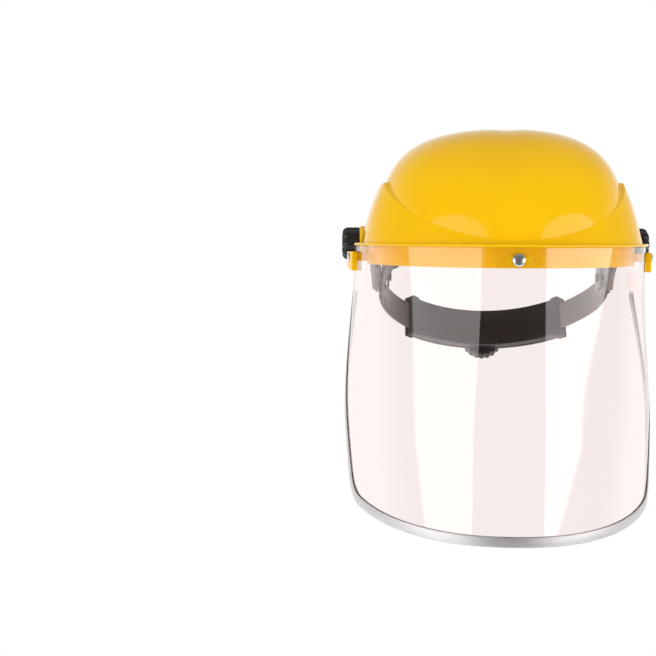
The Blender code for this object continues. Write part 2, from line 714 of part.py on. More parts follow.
def build_brackets(plastic):
    stud = ring_to_world(STUD_V)
    foot_top = stud.z + FOOT_HEIGHT / 2
    heights = spread(0.95 * BRACKET_RADIUS, BRACKET_BEND_Z, 8) + spread(BRACKET_BEND_Z, foot_top, 4)[1:]
    heights += [stud.z - FOOT_HEIGHT / 2]

    def bend_share(z):
        return smooth_step((BRACKET_BEND_Z - z) / (BRACKET_BEND_Z - foot_top))

    def middle(z):
        return BRACKET_INNER + bend_share(z) * (FOOT_INNER - BRACKET_INNER)

    def span(z):
        if z >= 0:
            half = math.sqrt(BRACKET_RADIUS ** 2 - z ** 2)
            return -half, half
        share = smooth_step(z / foot_top)
        front = -BRACKET_RADIUS + share * (stud.y - FOOT_WIDTH / 2 + BRACKET_RADIUS)
        back = BRACKET_RADIUS + bend_share(z) * (stud.y + FOOT_WIDTH / 2 - BRACKET_RADIUS)
        return front, back

    for side, sign in SIDES:
        plate = slab(side + "_pivot_bracket", heights, span,
                     lambda z, y, t: Vector((sign * (middle(z) + BRACKET_THICK * t), y, z)), 2, plastic)
        web_heights = spread(-EMBED, stud.z, 8)
        web_inner = FOOT_INNER + EMBED
        web = slab(side + "_web_tool", web_heights,
                   lambda z: (span(z)[0] + EMBED / 2, span(z)[0] + BRACKET_FLANGE),
                   lambda z, y, t: Vector((sign * (web_inner + t * (middle(z) - FOOT_INNER)), y, z)))
        combine(plate, web, 'UNION')
        pivot = looking((0, 0, 0), (sign, 0, 0))
        bore = rod(side + "_bracket_bore_tool", pivot, PIVOT_BOLT_RADIUS + FIT_GAP,
                   FOOT_INNER - BRACKET_THICK, PIVOT_HALF_WIDTH)
        combine(plate, bore, 'DIFFERENCE')
        hole = looking((0, stud.y, stud.z), (sign, 0, 0))
        combine(plate, rod(side + "_foot_hole_tool", hole, STUD_RADIUS + FIT_GAP, RING_HALF_WIDTH / 2,
                           PIVOT_HALF_WIDTH), 'DIFFERENCE')


def ring_point(angle, offset, w):
    """Headband ring: half ellipse in front, half circle behind; angle is from the front."""
    depth = RING_FRONT if abs(angle) <= math.pi / 2 else RING_HALF_WIDTH
    normal = Vector((math.sin(angle) / RING_HALF_WIDTH, -math.cos(angle) / depth)).normalized()
    x = RING_HALF_WIDTH * math.sin(angle) + normal.x * offset
    y = -depth * math.cos(angle) + normal.y * offset
    return Vector((x, y, w))


def ring_slab(name, angles, half_height, low, high, mat, parent, rows=1, drop=0.0):
    return slab(name, angles, lambda a: (drop - half_height(a), drop + half_height(a)),
                lambda a, w, t: ring_point(a, low(a) + (high(a) - low(a)) * t, w), rows, mat, parent)


def build_headband(plastic, foam, parent):
    brow = ring_slab("brow_band", spread(-BROW_END_ANGLE, BROW_END_ANGLE, 34), lambda a: BROW_HEIGHT / 2,
                     lambda a: -BAND_STRIP_THICK, lambda a: 0.0, plastic, parent)
    pad_out = -BAND_STRIP_THICK - FIT_GAP

    def pad_half(a):
        end = (abs(a) / PAD_END_ANGLE) ** PAD_HEIGHT_POWER
        return (PAD_HEIGHT + (PAD_END_HEIGHT - PAD_HEIGHT) * end) / 2

    def pad_inner(a):
        end = (abs(a) / PAD_END_ANGLE) ** PAD_THICK_POWER
        return pad_out - PAD_THICK - (PAD_END_THICK - PAD_THICK) * end

    ring_slab("sweatband", spread(-PAD_END_ANGLE, PAD_END_ANGLE, 26), pad_half, pad_inner,
              lambda a: pad_out, foam, parent, rows=2)
    for side, sign in SIDES:
        for name, v in (("stud", STUD_V), ("peg", CROWN_STRAP_V)):
            hole = looking((0, v, 0), (sign, 0, 0))
            tool = rod(side + "_brow_" + name + "_tool", hole, STUD_RADIUS + FIT_GAP, RING_HALF_WIDTH / 2,
                       2 * RING_HALF_WIDTH, parent=parent)
            combine(brow, tool, 'DIFFERENCE')


def strap_layer(sign, angle):
    """Offset of a strap's inner face: both start outside the brow band, the right one dips under."""
    if sign < 0:
        return FIT_GAP
    return FIT_GAP + (STRAP_LAYER - FIT_GAP) * smooth_step((angle - STRAP_DIP_START) / STRAP_DIP_ANGLE)


def build_straps(plastic, parent):
    start = math.pi / 2 + math.asin(STRAP_START_V / RING_HALF_WIDTH)
    overlap = STRAP_OVERLAP / RING_HALF_WIDTH
    tooth_angle = 2 * math.pi / PINION_TEETH * PINION_PITCH_RADIUS / RING_HALF_WIDTH
    teeth = int(RACK_SLOT / 2 / RING_HALF_WIDTH / tooth_angle)
    for side, sign in SIDES:
        angles = spread(start, math.pi + overlap, 40)

        def layer(a):
            return strap_layer(sign, abs(a))

        strap = ring_slab(side + "_strap", [sign * a for a in angles], lambda a: STRAP_HEIGHT / 2, layer,
                          lambda a: layer(a) + STRAP_THICK, plastic, parent)
        near = PINION_PITCH_RADIUS + TOOTH_HALF_DEPTH + TOOTH_GAP
        columns = []
        for k in range(-teeth, teeth):
            columns += [math.pi + (k + share) * tooth_angle for share in (0.0, 0.28, 0.5, 0.78)]
        columns.append(math.pi + teeth * tooth_angle)

        def slot_span(a):
            place = ((abs(a) - math.pi) / tooth_angle) % 1.0
            tip = 0.4 < place < 0.9
            toothed = near - (2 * TOOTH_HALF_DEPTH if tip else 0.0)
            low = -toothed if sign > 0 else -near
            high = near if sign > 0 else toothed
            return low - DIAL_DROP, high - DIAL_DROP

        tool = slab(side + "_rack_tool", [sign * a for a in columns], slot_span,
                    lambda a, w, t: ring_point(a, layer(a) - STRAP_THICK + 3 * STRAP_THICK * t, w),
                    parent=parent)
        combine(strap, tool, 'DIFFERENCE')
        hole = looking((0, STUD_V, 0), (sign, 0, 0))
        combine(strap, rod(side + "_strap_hole_tool", hole, STUD_RADIUS + FIT_GAP, RING_HALF_WIDTH / 2,
                           2 * RING_HALF_WIDTH, parent=parent), 'DIFFERENCE')
        inner = RING_HALF_WIDTH - BAND_STRIP_THICK - 2 * FIT_GAP
        build_stud(side + "_strap_stud", hole, inner, FOOT_INNER + BRACKET_THICK + FIT_GAP, plastic, parent)


def build_stud(name, frame, inner, outer, mat, parent=None):
    """Push stud through the headband: a low head outside and an upset end inside."""
    profile = [(0, outer + STUD_HEAD_THICK), (STUD_HEAD_FACE, outer + STUD_HEAD_THICK), (STUD_HEAD, outer),
               (STUD_RADIUS, outer), (STUD_RADIUS, inner), (STUD_UPSET, inner),
               (STUD_UPSET, inner - STUD_HEAD_THICK), (0, inner - STUD_HEAD_THICK)]
    turned(name, frame, profile, mat, parent)


def crown_arch():
    """Sizes of the strap over the head in the world: side x, y, base z of its arch."""
    base = ring_to_world(CROWN_STRAP_V)
    lean = CROWN_STRAP_WIDTH + BROW_HEIGHT * math.sin(RING_TILT)
    edge = (lean / 2 / math.cos(RING_TILT) - CROWN_STRAP_V) / RING_FRONT
    clear = RING_HALF_WIDTH * (1 - math.sqrt(1 - edge ** 2))
    side_x = RING_HALF_WIDTH - BAND_STRIP_THICK - FIT_GAP - clear
    return side_x, base.y, base.z


def crown_point(beta, across, offset):
    """Arch over the head; beta is from the left side (0) to the right (pi), negative down the tab."""
    side_x, y, base_z = crown_arch()
    power = 2 / CROWN_STRAP_POWER
    rise = CROWN_STRAP_TOP_Z - base_z
    if beta < 0:
        return Vector((-side_x - offset, y + across, base_z + beta * rise))
    a = side_x + offset
    b = rise + offset
    x = -a * math.copysign(abs(math.cos(beta)) ** power, math.cos(beta))
    return Vector((x, y + across, base_z + b * math.sin(beta) ** power))


def build_crown_straps(plastic):
    side_x, y, base_z = crown_arch()
    drop = CROWN_TAB_DROP / (CROWN_STRAP_TOP_Z - base_z)
    end = math.pi / 2 + CROWN_STRAP_OVERLAP
    half = CROWN_STRAP_WIDTH / 2
    for side, sign in SIDES:

        def offset(beta):
            if sign < 0:
                return -CROWN_STRAP_THICK
            dip = smooth_step((beta - CROWN_DIP_START) / CROWN_DIP_ANGLE)
            return -CROWN_STRAP_THICK - dip * (CROWN_STRAP_THICK + FIT_GAP)

        def span(beta):
            into = max(beta - (end - CROWN_HOLE_PITCH), 0.0) / CROWN_HOLE_PITCH
            width = half * math.sqrt(1 - CROWN_END_TAPER * into ** 2)
            return -width, width

        def point(beta, across, t):
            p = crown_point(beta, across, offset(beta) + CROWN_STRAP_THICK * t)
            return Vector((-sign * p.x, p.y, p.z))

        taper = end - CROWN_HOLE_PITCH
        betas = [-drop] + spread(CROWN_FOOT_ANGLE, taper, 22) + spread(taper, end, 3)[1:]
        strap = slab(side + "_crown_strap", betas, span, point, 1, plastic)
        peg_beta = math.pi / 2
        top = Vector((0, y, CROWN_STRAP_TOP_Z))
        upright = looking(top, (0, 0, 1))
        if sign > 0:
            peg = rod("crown_peg_tool", upright, CROWN_PEG_RADIUS, -1.5 * CROWN_STRAP_THICK - FIT_GAP,
                      CROWN_STRAP_THICK)
            combine(strap, peg, 'UNION')
        else:
            for k in range(CROWN_HOLES):
                beta = peg_beta + (k - CROWN_HOLES // 2 + 1) * CROWN_HOLE_PITCH
                place = crown_point(beta, 0.0, 0.0)
                hole = looking(place, (0, 0, 1))
                combine(strap, rod("crown_hole_tool_%d" % k, hole, CROWN_PEG_RADIUS + FIT_GAP,
                                   -4 * CROWN_STRAP_THICK, 4 * CROWN_STRAP_THICK, sides=12), 'DIFFERENCE')
        frame = looking((0, y, base_z), (sign, 0, 0))
        combine(strap, rod(side + "_tab_hole_tool", frame, STUD_RADIUS + FIT_GAP, side_x / 2, 2 * side_x),
                'DIFFERENCE')
        inner = side_x - CROWN_STRAP_THICK - FIT_GAP
        build_stud(side + "_crown_peg", frame, inner, RING_HALF_WIDTH + FIT_GAP, plastic)


def gear_shape(radius, height, angle):
    if radius < PINION_PITCH_RADIUS:
        return radius
    return radius + TOOTH_HALF_DEPTH * (1 if math.cos(PINION_TEETH * angle) > 0 else -1)


def dial_shape(radius, height, angle):
    if radius < DIAL_RADIUS - DIAL_RIB_DEPTH:
        return radius
    return radius - DIAL_RIB_DEPTH * (0.5 - 0.5 * math.cos(DIAL_RIBS * angle))


def build_ratchet(plastic, steel, parent, dial_parent):
    flange = HOUSING_HALF_ANGLE - HOUSING_FLANGE_ANGLE
    columns = [-HOUSING_HALF_ANGLE, -flange - FLANGE_STEP, -flange]
    columns += spread(-flange, flange, 16)[1:-1]
    columns += [flange, flange + FLANGE_STEP, HOUSING_HALF_ANGLE]
    columns = [math.pi + a for a in columns]

    def half_height(a):
        raised = abs(a - math.pi) > flange + FLANGE_STEP / 2
        return HOUSING_HEIGHT / 2 + (HOUSING_FLANGE_RISE if raised else 0.0)

    housing = ring_slab("ratchet_housing", columns, half_height, lambda a: CHANNEL_IN - HOUSING_WALL,
                        lambda a: CHANNEL_OUT, plastic, parent)
    reach = HOUSING_HALF_ANGLE + FLANGE_STEP
    around = [math.pi + a for a in spread(-reach, reach, 18)]
    channel = ring_slab("channel_tool", around, lambda a: STRAP_HEIGHT / 2 + FIT_GAP,
                        lambda a: CHANNEL_IN, lambda a: CHANNEL_OUT + HOUSING_WALL, None, parent)
    combine(housing, channel, 'DIFFERENCE')
    cover_low = CHANNEL_OUT + FIT_GAP
    cover = ring_slab("ratchet_cover", columns, half_height, lambda a: cover_low,
                      lambda a: cover_low + COVER_THICK, plastic, parent)
    axis = looking((0, 0, -DIAL_DROP), (0, 1, 0))
    rear = RING_HALF_WIDTH + cover_low + COVER_THICK
    seat = rod("dial_seat_tool", axis, DETENT_RADIUS + DIAL_WALL, rear - COVER_THICK / 2, rear + FIT_GAP,
               parent=parent)
    combine(cover, seat, 'UNION')
    bore = rod("cover_bore_tool", axis, PINION_PITCH_RADIUS + TOOTH_HALF_DEPTH + FIT_GAP,
               RING_HALF_WIDTH / 2, 2 * RING_HALF_WIDTH, parent=parent)
    combine(cover, bore, 'DIFFERENCE')
    socket = rod("pinion_socket_tool", axis, PINION_SHAFT + FIT_GAP,
                 RING_HALF_WIDTH / 2, 2 * RING_HALF_WIDTH, parent=parent)
    combine(housing, socket, 'DIFFERENCE')

    dial_low = rear + 2 * FIT_GAP
    detent_high = dial_low + DETENT_THICK
    tube("detent_ring", axis, PINION_PITCH_RADIUS + TOOTH_HALF_DEPTH + FIT_GAP, DETENT_RADIUS,
         dial_low, detent_high, steel, parent)

    dial_axis = looking((0, 0, 0), (0, 1, 0))
    gear_low = RING_HALF_WIDTH + CHANNEL_IN + FIT_GAP
    gear_high = detent_high + FIT_GAP
    shaft_low = gear_low - HOUSING_WALL
    screw_hole = SCREW_SHANK + FIT_GAP
    profile = [(0, shaft_low), (PINION_SHAFT, shaft_low), (PINION_SHAFT, gear_low),
               (PINION_PITCH_RADIUS, gear_low), (PINION_PITCH_RADIUS, gear_high),
               (screw_hole, gear_high), (screw_hole, gear_low), (0, gear_low)]
    turned("ratchet_pinion", dial_axis, profile, plastic, dial_parent, 4 * PINION_TEETH, gear_shape)
    pocket = DETENT_RADIUS + DIAL_WALL
    top = dial_low + DIAL_LENGTH
    inside = gear_high + FIT_GAP
    screw_seat = top - SCREW_HEAD_THICK
    profile = [(screw_hole, inside), (pocket, inside), (pocket, dial_low + FIT_GAP),
               (DIAL_RADIUS, dial_low + FIT_GAP), (DIAL_RADIUS, top - DIAL_WALL),
               (DIAL_RADIUS - DIAL_WALL, top), (SCREW_HEAD + FIT_GAP, top),
               (SCREW_HEAD + FIT_GAP, screw_seat), (screw_hole, screw_seat), (screw_hole, inside)]
    turned("ratchet_knob", dial_axis, profile, plastic, dial_parent, 2 * DIAL_RIBS, dial_shape)
    screw_low = screw_seat + FIT_GAP
    screw = [(0, gear_low + FIT_GAP), (SCREW_SHANK, gear_low + FIT_GAP), (SCREW_SHANK, screw_low),
             (SCREW_HEAD, screw_low), (SCREW_HEAD, top), (0, top)]
    turned("ratchet_screw", dial_axis, screw, steel, dial_parent)


def main():
    clear_scene()
    yellow = make_material("yellow_plastic", (0.95, 0.55, 0.01), 0.25)
    clear = make_material("clear_polycarbonate", (1.0, 0.93, 0.92), 0.05, alpha=0.25)
    bright = make_material("trim_aluminium", (0.75, 0.75, 0.76), 0.35, 1.0)
    steel = make_material("nickel_steel", (0.70, 0.70, 0.70), 0.2, 1.0)
    black = make_material("black_plastic", (0.03, 0.03, 0.032), 0.45)
    grey = make_material("headgear_plastic", (0.08, 0.08, 0.085), 0.4)
    foam = make_material("sweatband_foam", (0.05, 0.05, 0.05), 0.9)
    brass = make_material("insert_brass", (0.75, 0.55, 0.25), 0.35, 1.0)
    nylon = make_material("washer_nylon", (0.8, 0.8, 0.78), 0.5)

    ring_frame = bpy.data.objects.new("headband_frame", None)
    ring_frame.matrix_world = RING_FRAME
    dial_frame = bpy.data.objects.new("dial_frame", None)
    dial_frame.parent = ring_frame
    dial_frame.location = (0, 0, -DIAL_DROP)
    for frame in (ring_frame, dial_frame):
        bpy.context.scene.collection.objects.link(frame)

    build_crown(yellow)
    build_visor(clear)
    build_trim(bright)
    build_rivets(steel)
    build_pivots(steel, black, brass, nylon)
    build_brackets(grey)
    build_headband(grey, foam, ring_frame)
    build_straps(grey, ring_frame)
    build_crown_straps(grey)
    build_ratchet(black, steel, ring_frame, dial_frame)


main()
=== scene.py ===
"""Looks of the face shield: fine surfaces, finishes, studio light and camera.

Units are metres in the frame of the solids: +Z is up and the wearer faces -Y.
"""
import bisect
import json
import math
from contextlib import contextmanager
from functools import partial

import bmesh
import bpy
from mathutils import Matrix, Vector

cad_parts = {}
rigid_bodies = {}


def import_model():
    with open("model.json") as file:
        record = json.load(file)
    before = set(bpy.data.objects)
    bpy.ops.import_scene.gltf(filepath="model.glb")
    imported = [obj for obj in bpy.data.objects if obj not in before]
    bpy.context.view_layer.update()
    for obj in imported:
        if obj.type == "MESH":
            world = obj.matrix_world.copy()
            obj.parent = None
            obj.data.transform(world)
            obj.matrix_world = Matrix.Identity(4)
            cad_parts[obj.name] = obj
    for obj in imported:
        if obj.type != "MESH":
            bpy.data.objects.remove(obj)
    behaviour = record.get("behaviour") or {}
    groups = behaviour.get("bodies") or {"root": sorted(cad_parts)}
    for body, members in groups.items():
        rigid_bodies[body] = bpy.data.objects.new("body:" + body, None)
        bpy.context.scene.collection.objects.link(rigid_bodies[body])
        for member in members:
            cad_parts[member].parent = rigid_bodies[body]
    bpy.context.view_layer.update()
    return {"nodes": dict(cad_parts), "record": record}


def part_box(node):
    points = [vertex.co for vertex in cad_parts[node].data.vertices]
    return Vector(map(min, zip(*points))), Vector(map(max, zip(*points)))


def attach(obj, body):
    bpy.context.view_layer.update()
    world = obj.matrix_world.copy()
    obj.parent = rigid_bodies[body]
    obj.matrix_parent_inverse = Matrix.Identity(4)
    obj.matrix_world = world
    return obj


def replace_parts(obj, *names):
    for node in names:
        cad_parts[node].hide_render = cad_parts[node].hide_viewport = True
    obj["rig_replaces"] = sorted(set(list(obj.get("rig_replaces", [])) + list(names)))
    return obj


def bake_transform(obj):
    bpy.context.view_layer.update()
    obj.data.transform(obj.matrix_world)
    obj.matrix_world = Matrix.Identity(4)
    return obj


# Photograph: its size in pixels, and the camera that fits it, with a sensor in millimetres
IMAGE_SIDE = 656
FOCAL_PIXELS = 1160
SENSOR = 36
CAMERA_DISTANCE = 0.9
CAMERA_ORBIT = math.radians(5.88)
CAMERA_YAW = math.radians(-2.22)
CAMERA_PITCH = math.radians(4.56)
CAMERA_ROLL = math.radians(0.25)
CAMERA_HEIGHT = 0.00602

# Clearance between neighbouring pieces
FIT_GAP = 0.0003

# Visor sheet, an ellipse seen from above that flares downwards
VISOR_HALF_WIDTH = 0.107
VISOR_DEPTH = 0.140
VISOR_CENTRE_Y = -0.015
VISOR_REAR_Y = 0.008
VISOR_THICK = 0.001
VISOR_HEIGHT = 0.194
VISOR_FLARE = 0.0062
VISOR_FRONT_PULL = 0.0050
FLARE_START = 0.020
FLARE_LENGTH = 0.110
VISOR_CORNER_RADIUS = 0.030
VISOR_BOTTOM_FLAT = 0.020
VISOR_BOTTOM_RADIUS = 0.640
VISOR_EDGE_LEAN = math.radians(25)
VISOR_REAR_DROP = 0.021
VISOR_SHOULDER = 0.012
VISOR_TIP = 0.006
SLOT_LENGTH = 0.017
SLOT_HEIGHT = 0.0062

# Metal edging
TRIM_FACE = 0.0070
TRIM_WALL = 0.0006
TRIM_TOP_GAP = 0.010

# Browguard
LIP_THICK = 0.002
LIP_HALF_WIDTH = 0.109
LIP_OVERHANG = 0.002
LIP_REAR_Y = -0.048
LIP_END_SHARE = 0.35
LIP_ROUND_SHARE = 0.42
BAND_HEIGHT = 0.0133
BAND_WALL = 0.0022
BAND_SIDE_INSET = 0.0064
BAND_REAR_Y = -0.046
SHELL_WALL = 0.0022
DOME_HEIGHT = 0.0822
DOME_CENTRE_Y = -0.030
DOME_FRONT_SETBACK = 0.0035
DOME_REAR_REACH = 0.260
DOME_POWER = 2.9
SHELL_REAR_Y = 0.014
WING_TOP_PROUD = 0.0036
WING_BASE_PROUD = 0.0112
WING_FLARE_POWER = 1.2
WING_SIDE_Z = 0.043
WING_FRONT_Z = 0.003
WING_FRONT_SHARE = 0.10
WING_RISE_ANGLE = math.radians(75)
WING_RISE_POWER = 1.8
WING_LIP_START = math.radians(46)
WING_LIP_FRONT = 0.06
WING_ROUND = 0.0011
WING_FILLET = 0.0012
LUG_BLEND = 0.0013
CREST_GROOVE = 0.0009
CREST_GROOVE_WIDTH = 0.009
REAR_RIM_Y = -0.060
REAR_RIM_BLEND = 0.074
REAR_RIM_SWELL = 0.027

# Ears that hold the visor's sides
EAR_FRONT_Y = -0.050
EAR_DEPTH = 0.017
EAR_LEG = 0.004
EAR_SPLAY = 0.0012
EAR_BOTTOM_RISE = 0.002
EAR_TOP_Z = -0.0055
EAR_BOTTOM_Z = -0.0195
EAR_ARM_DEPTH = 0.0045
EAR_ARM_HEIGHT = 0.0065
EMBED = 0.0006

# Rivets and their holes
FRONT_RIVET_Z = -0.009
FRONT_RIVET_HEAD = 0.0042
FRONT_RIVET_DOME = 0.0022
SIDE_RIVET_Z = -0.0095
SIDE_RIVET_BACK = 0.0105
SIDE_RIVET_HEAD = 0.0033
SIDE_RIVET_DOME = 0.0016
RIVET_SHANK = 0.0018
WASHER_THICK = 0.0008
RIVET_TAIL = 0.0008
RIVET_TAIL_RADIUS = 0.0031
RIVET_TAIL_END = 0.0022
DRILL_REACH = 3

# Tilt pivots and their knobs
PIVOT_STANDOFF = 0.0165
LUG_RADIUS = 0.0135
LUG_THICK = 0.006
LUG_PROUD = 0.002
LUG_ROUND = 0.0008
PIVOT_BOLT_RADIUS = 0.003
KNOB_RADIUS = 0.0124
KNOB_LOBES = 8
KNOB_LOBE_DEPTH = 0.0019
KNOB_ROUND = 0.0046
KNOB_DISH_RADIUS = 0.0058
KNOB_DISH_DEPTH = 0.0006

# Headband ring, drawn flat in its own tilted frame
RING_HALF_WIDTH = 0.086
RING_FRONT = 0.108
RING_Y = 0.008
RING_Z = -0.0293
RING_TILT = math.radians(30)
BAND_STRIP_THICK = 0.0018
BRACKET_RADIUS = 0.0115
FOOT_WIDTH = 0.014
FOOT_HEIGHT = 0.010
STUD_V = 0.006
FLANGE_TOP_Z = -0.011
FLANGE_OUTER = 0.0955
FLANGE_OUTER_END = 0.0930
FLANGE_INNER = 0.0868
FLANGE_THICK = 0.0022
PAD_THICK = 0.005
PAD_HEIGHT = 0.028
PAD_END_ANGLE = math.radians(68)
PAD_END_POWER = 6
PAD_END_HEIGHT = 0.75
PAD_END_THICK = 0.45
PAD_EDGE_POWER = 0.7
PAD_CROWN_POWER = 0.6
PAD_BACK_STEP = 0.0001
PAD_SEAM = 0.0009
PAD_SEAM_PLACE = 0.80
PAD_SEAM_WIDTH = 0.06
PAD_SEAM_FROM = 0.3

# Rear dial
DIAL_DROP = 0.003
DIAL_RADIUS = 0.0172
DIAL_RIBS = 20
DIAL_RIB_DEPTH = 0.0009
DIAL_RIB_VALLEY = 0.4
DIAL_ROUND = 0.0018
DIAL_DISH_RADIUS = 0.0125
DIAL_DISH_DEPTH = 0.0008
SCREW_HEAD = 0.004

# Places that follow from the sizes
LIP_BOTTOM_Z = -LIP_THICK / 2
VISOR_TOP_Z = LIP_BOTTOM_Z - FIT_GAP
VISOR_BOTTOM_Z = VISOR_TOP_Z - VISOR_HEIGHT
SEAT = -VISOR_THICK - FIT_GAP
BAND_FRONT_REACH = VISOR_DEPTH + SEAT
BAND_HALF_WIDTH = VISOR_HALF_WIDTH + SEAT - BAND_SIDE_INSET
EAR_SEAT = FIT_GAP + EAR_LEG
PIVOT_HALF_WIDTH = RING_HALF_WIDTH + PIVOT_STANDOFF
DOME_HALF_WIDTH = PIVOT_HALF_WIDTH - LUG_PROUD - WING_BASE_PROUD
DOME_FRONT_REACH = BAND_FRONT_REACH - VISOR_CENTRE_Y - DOME_FRONT_SETBACK + DOME_CENTRE_Y
LIP_DEPTH = LIP_OVERHANG - SEAT + DOME_FRONT_SETBACK + SHELL_WALL / 2
LUG_INNER = PIVOT_HALF_WIDTH - LUG_THICK
KNOB_INNER = PIVOT_HALF_WIDTH + FIT_GAP
RING_FRAME = Matrix.Translation((0, RING_Y, RING_Z)) @ Matrix.Rotation(-RING_TILT, 4, 'X')
SIDES = (("left", -1), ("right", 1))

# Mesh fineness
ROUND_SIDES = 64
KNOB_SIDES = 20 * KNOB_LOBES
DIAL_SIDES = 12 * DIAL_RIBS
PLAN_REACH = math.radians(140)
PLAN_STEPS = 700
DOME_COLUMNS = 240
DOME_ROWS = 60
WING_ROWS = 14
LIP_COLUMNS = 151
BAND_COLUMNS = 141
SHEET_ROWS = 48
EDGE_FLAT_STEPS = 4
EDGE_ARC_STEPS = 24
EDGE_CORNER_STEPS = 16
EDGE_RISE_STEPS = 24
PAD_COLUMNS = 120
PAD_SIDES = 36
HALVINGS = 60
SMOOTH_ANGLE = math.radians(32)
FLAT_ANGLE = math.radians(0.5)
ROUNDED_ANGLE = math.radians(35)
EDGE_ROUND = 0.0003
EDGE_ROUND_STEPS = 2
MERGE = 1e-6
WELD = 2e-6
TINY = 1e-6

# Finishes: tones and roughness drift between two levels; grain is per metre, its depth in metres
PLASTICS = {
    "yellow_plastic": dict(tones=((0.92, 0.515, 0.001), (0.95, 0.545, 0.002)),
                           rough=(0.07, 0.12), grain=500, depth=4e-6, specular=0.28),
    "black_plastic": dict(tones=((0.010, 0.009, 0.009), (0.016, 0.015, 0.014)),
                          rough=(0.26, 0.36), grain=1500, depth=5e-5),
    # Headgear plastic: its own near-black, lightened to grey by a painted reflection of the visor
    # over it
    "headgear_plastic": dict(tones=((0.15, 0.141, 0.140), (0.18, 0.171, 0.170)),
                             rough=(0.26, 0.36), grain=1500, depth=6e-5),
    # Lighter copy of the headgear plastic for the pivot brackets: painted light standing for their
    # lit front faces
    "painted_lit_bracket_plastic": dict(tones=((0.36, 0.345, 0.343), (0.40, 0.385, 0.383)),
                            rough=(0.26, 0.36), grain=1500, depth=6e-5),
    "washer_nylon": dict(tones=((0.74, 0.73, 0.70), (0.80, 0.79, 0.76)),
                         rough=(0.4, 0.5), grain=1200, depth=3e-5),
}
METALS = {
    "trim_aluminium": dict(colour=(0.84, 0.815, 0.82), rough=(0.46, 0.58), grain=90, depth=3e-5,
                           stretch=(1, 1, 18)),
    "rivet_chrome": dict(colour=(0.86, 0.86, 0.87), rough=(0.24, 0.32), grain=300, depth=1e-5),
    "plain_steel": dict(colour=(0.62, 0.62, 0.63), rough=(0.25, 0.4), grain=300, depth=2e-5),
    "insert_brass": dict(colour=(0.75, 0.55, 0.25), rough=(0.25, 0.4), grain=300, depth=2e-5),
}
# Part of a noise texture's range that a finish uses
NOISE_LOW = 0.3
NOISE_HIGH = 0.7
# Scales of noise per metre, strengths of bump and tones of each kind of finish
PLASTIC_DRIFT = 22
PLASTIC_GLOSS = 60
PLASTIC_BUMP = 0.35
METAL_DULL = 0.9
METAL_BRIGHT = 1.06
METAL_BUMP = 0.3
SHEET_IOR = 1.5
SHEET_TINT = (1.0, 0.904, 0.879)
SHEET_WAVES = 40
SHEET_HAZE = 0.012
SAWN_TONES = ((0.50, 0.46, 0.45), (0.66, 0.62, 0.61))
SAWN_ROUGH = (0.35, 0.55)
SAWN_GRAIN = 700
SAWN_CLEARNESS = 0.55
SAWN_FACING = 0.5
FOAM_TONES = ((0.018, 0.018, 0.019), (0.05, 0.05, 0.052))
FOAM_PILE = 900
FOAM_PILE_DEPTH = 0.0006
FOAM_BUMP = 0.9

# Studio: two low softboxes in front, a pale floor and a white surround; strength 1 is white
WHITE = 1.0
FLOOR_Z = -0.6
FLOOR_HALF_SIDE = 0.7
FLOOR_PAINT = 0.5
FLOOR_ROUGH = 0.9
FLOOR_GLOW = 0.7
SOFTBOX_AIM = Vector((0, -0.12, 0))
SOFTBOX_DISTANCE = 1.3
SOFTBOX_BOTTOM = -0.72
SOFTBOX_TOP = 0.245
SOFTBOX_SPRING = 0.727
SOFTBOX_CRISP = 24.0
# Azimuths from the front towards +X, slant of the outer edge below the arch, and radiance
SOFTBOXES = {
    "left_softbox": (math.radians(-95), math.radians(-27), -0.58, 1.97),
    "right_softbox": (math.radians(33), math.radians(101), 1.05, 2.38),
}
ROOM_FILL = 0.74
ROOM_DARK = 0.085
# Pale walls that gloss shows: direction, how fast each fades away from it, and brightness
WALLS = (
    ((-0.60, 0.52, -0.61), 6.0, 2.6),
    ((0.52, 0.52, -0.68), 6.0, 3.2),
    ((0.0, 0.95, -0.30), 3.0, 1.1),
    ((0.0, 0.10, 0.99), 2.0, 0.35),
)


def smooth_step(x):
    x = min(max(x, 0.0), 1.0)
    return x * x * (3 - 2 * x)


def spread(low, high, count):
    return [low + (high - low) * i / count for i in range(count + 1)]


def looking(origin, direction):
    """Frame at origin whose Z runs along direction."""
    rotation = Vector(direction).to_track_quat('Z', 'Y').to_matrix().to_4x4()
    return Matrix.Translation(origin) @ rotation


def arc(centre, radius, start, end, steps):
    """Points on a circle in a section, angles in degrees."""
    angles = [math.radians(a) for a in spread(start, end, steps)]
    x, y = centre
    return [(x + radius * math.cos(a), y + radius * math.sin(a)) for a in angles]


def rounded_box(low, high, radius, steps=3):
    """Closed outline of a rectangle with round corners between two corner points."""
    left, bottom = low[0] + radius, low[1] + radius
    right, top = high[0] - radius, high[1] - radius
    corners = (((right, bottom), -90), ((right, top), 0), ((left, top), 90), ((left, bottom), 180))
    outline = []
    for centre, start in corners:
        outline += arc(centre, radius, start, start + 90, steps)
    return outline


@contextmanager
def editing(mesh):
    """Opens a mesh for editing and writes it back."""
    bm = bmesh.new()
    bm.from_mesh(mesh)
    yield bm
    bm.to_mesh(mesh)
    bm.free()


def shade(mesh):
    """Smooth shading, broken at sharp edges."""
    mesh.shade_smooth()
    mesh.set_sharp_from_angle(angle=SMOOTH_ANGLE)


def make_object(name, points, faces, mat=None):
    mesh = bpy.data.meshes.new(name)
    mesh.from_pydata([tuple(p) for p in points], [], faces)
    with editing(mesh) as bm:
        bmesh.ops.remove_doubles(bm, verts=bm.verts, dist=MERGE)
        bmesh.ops.recalc_face_normals(bm, faces=bm.faces)
    shade(mesh)
    obj = bpy.data.objects.new(name, mesh)
    bpy.context.scene.collection.objects.link(obj)
    if mat is not None:
        mesh.materials.append(mat)
    return obj


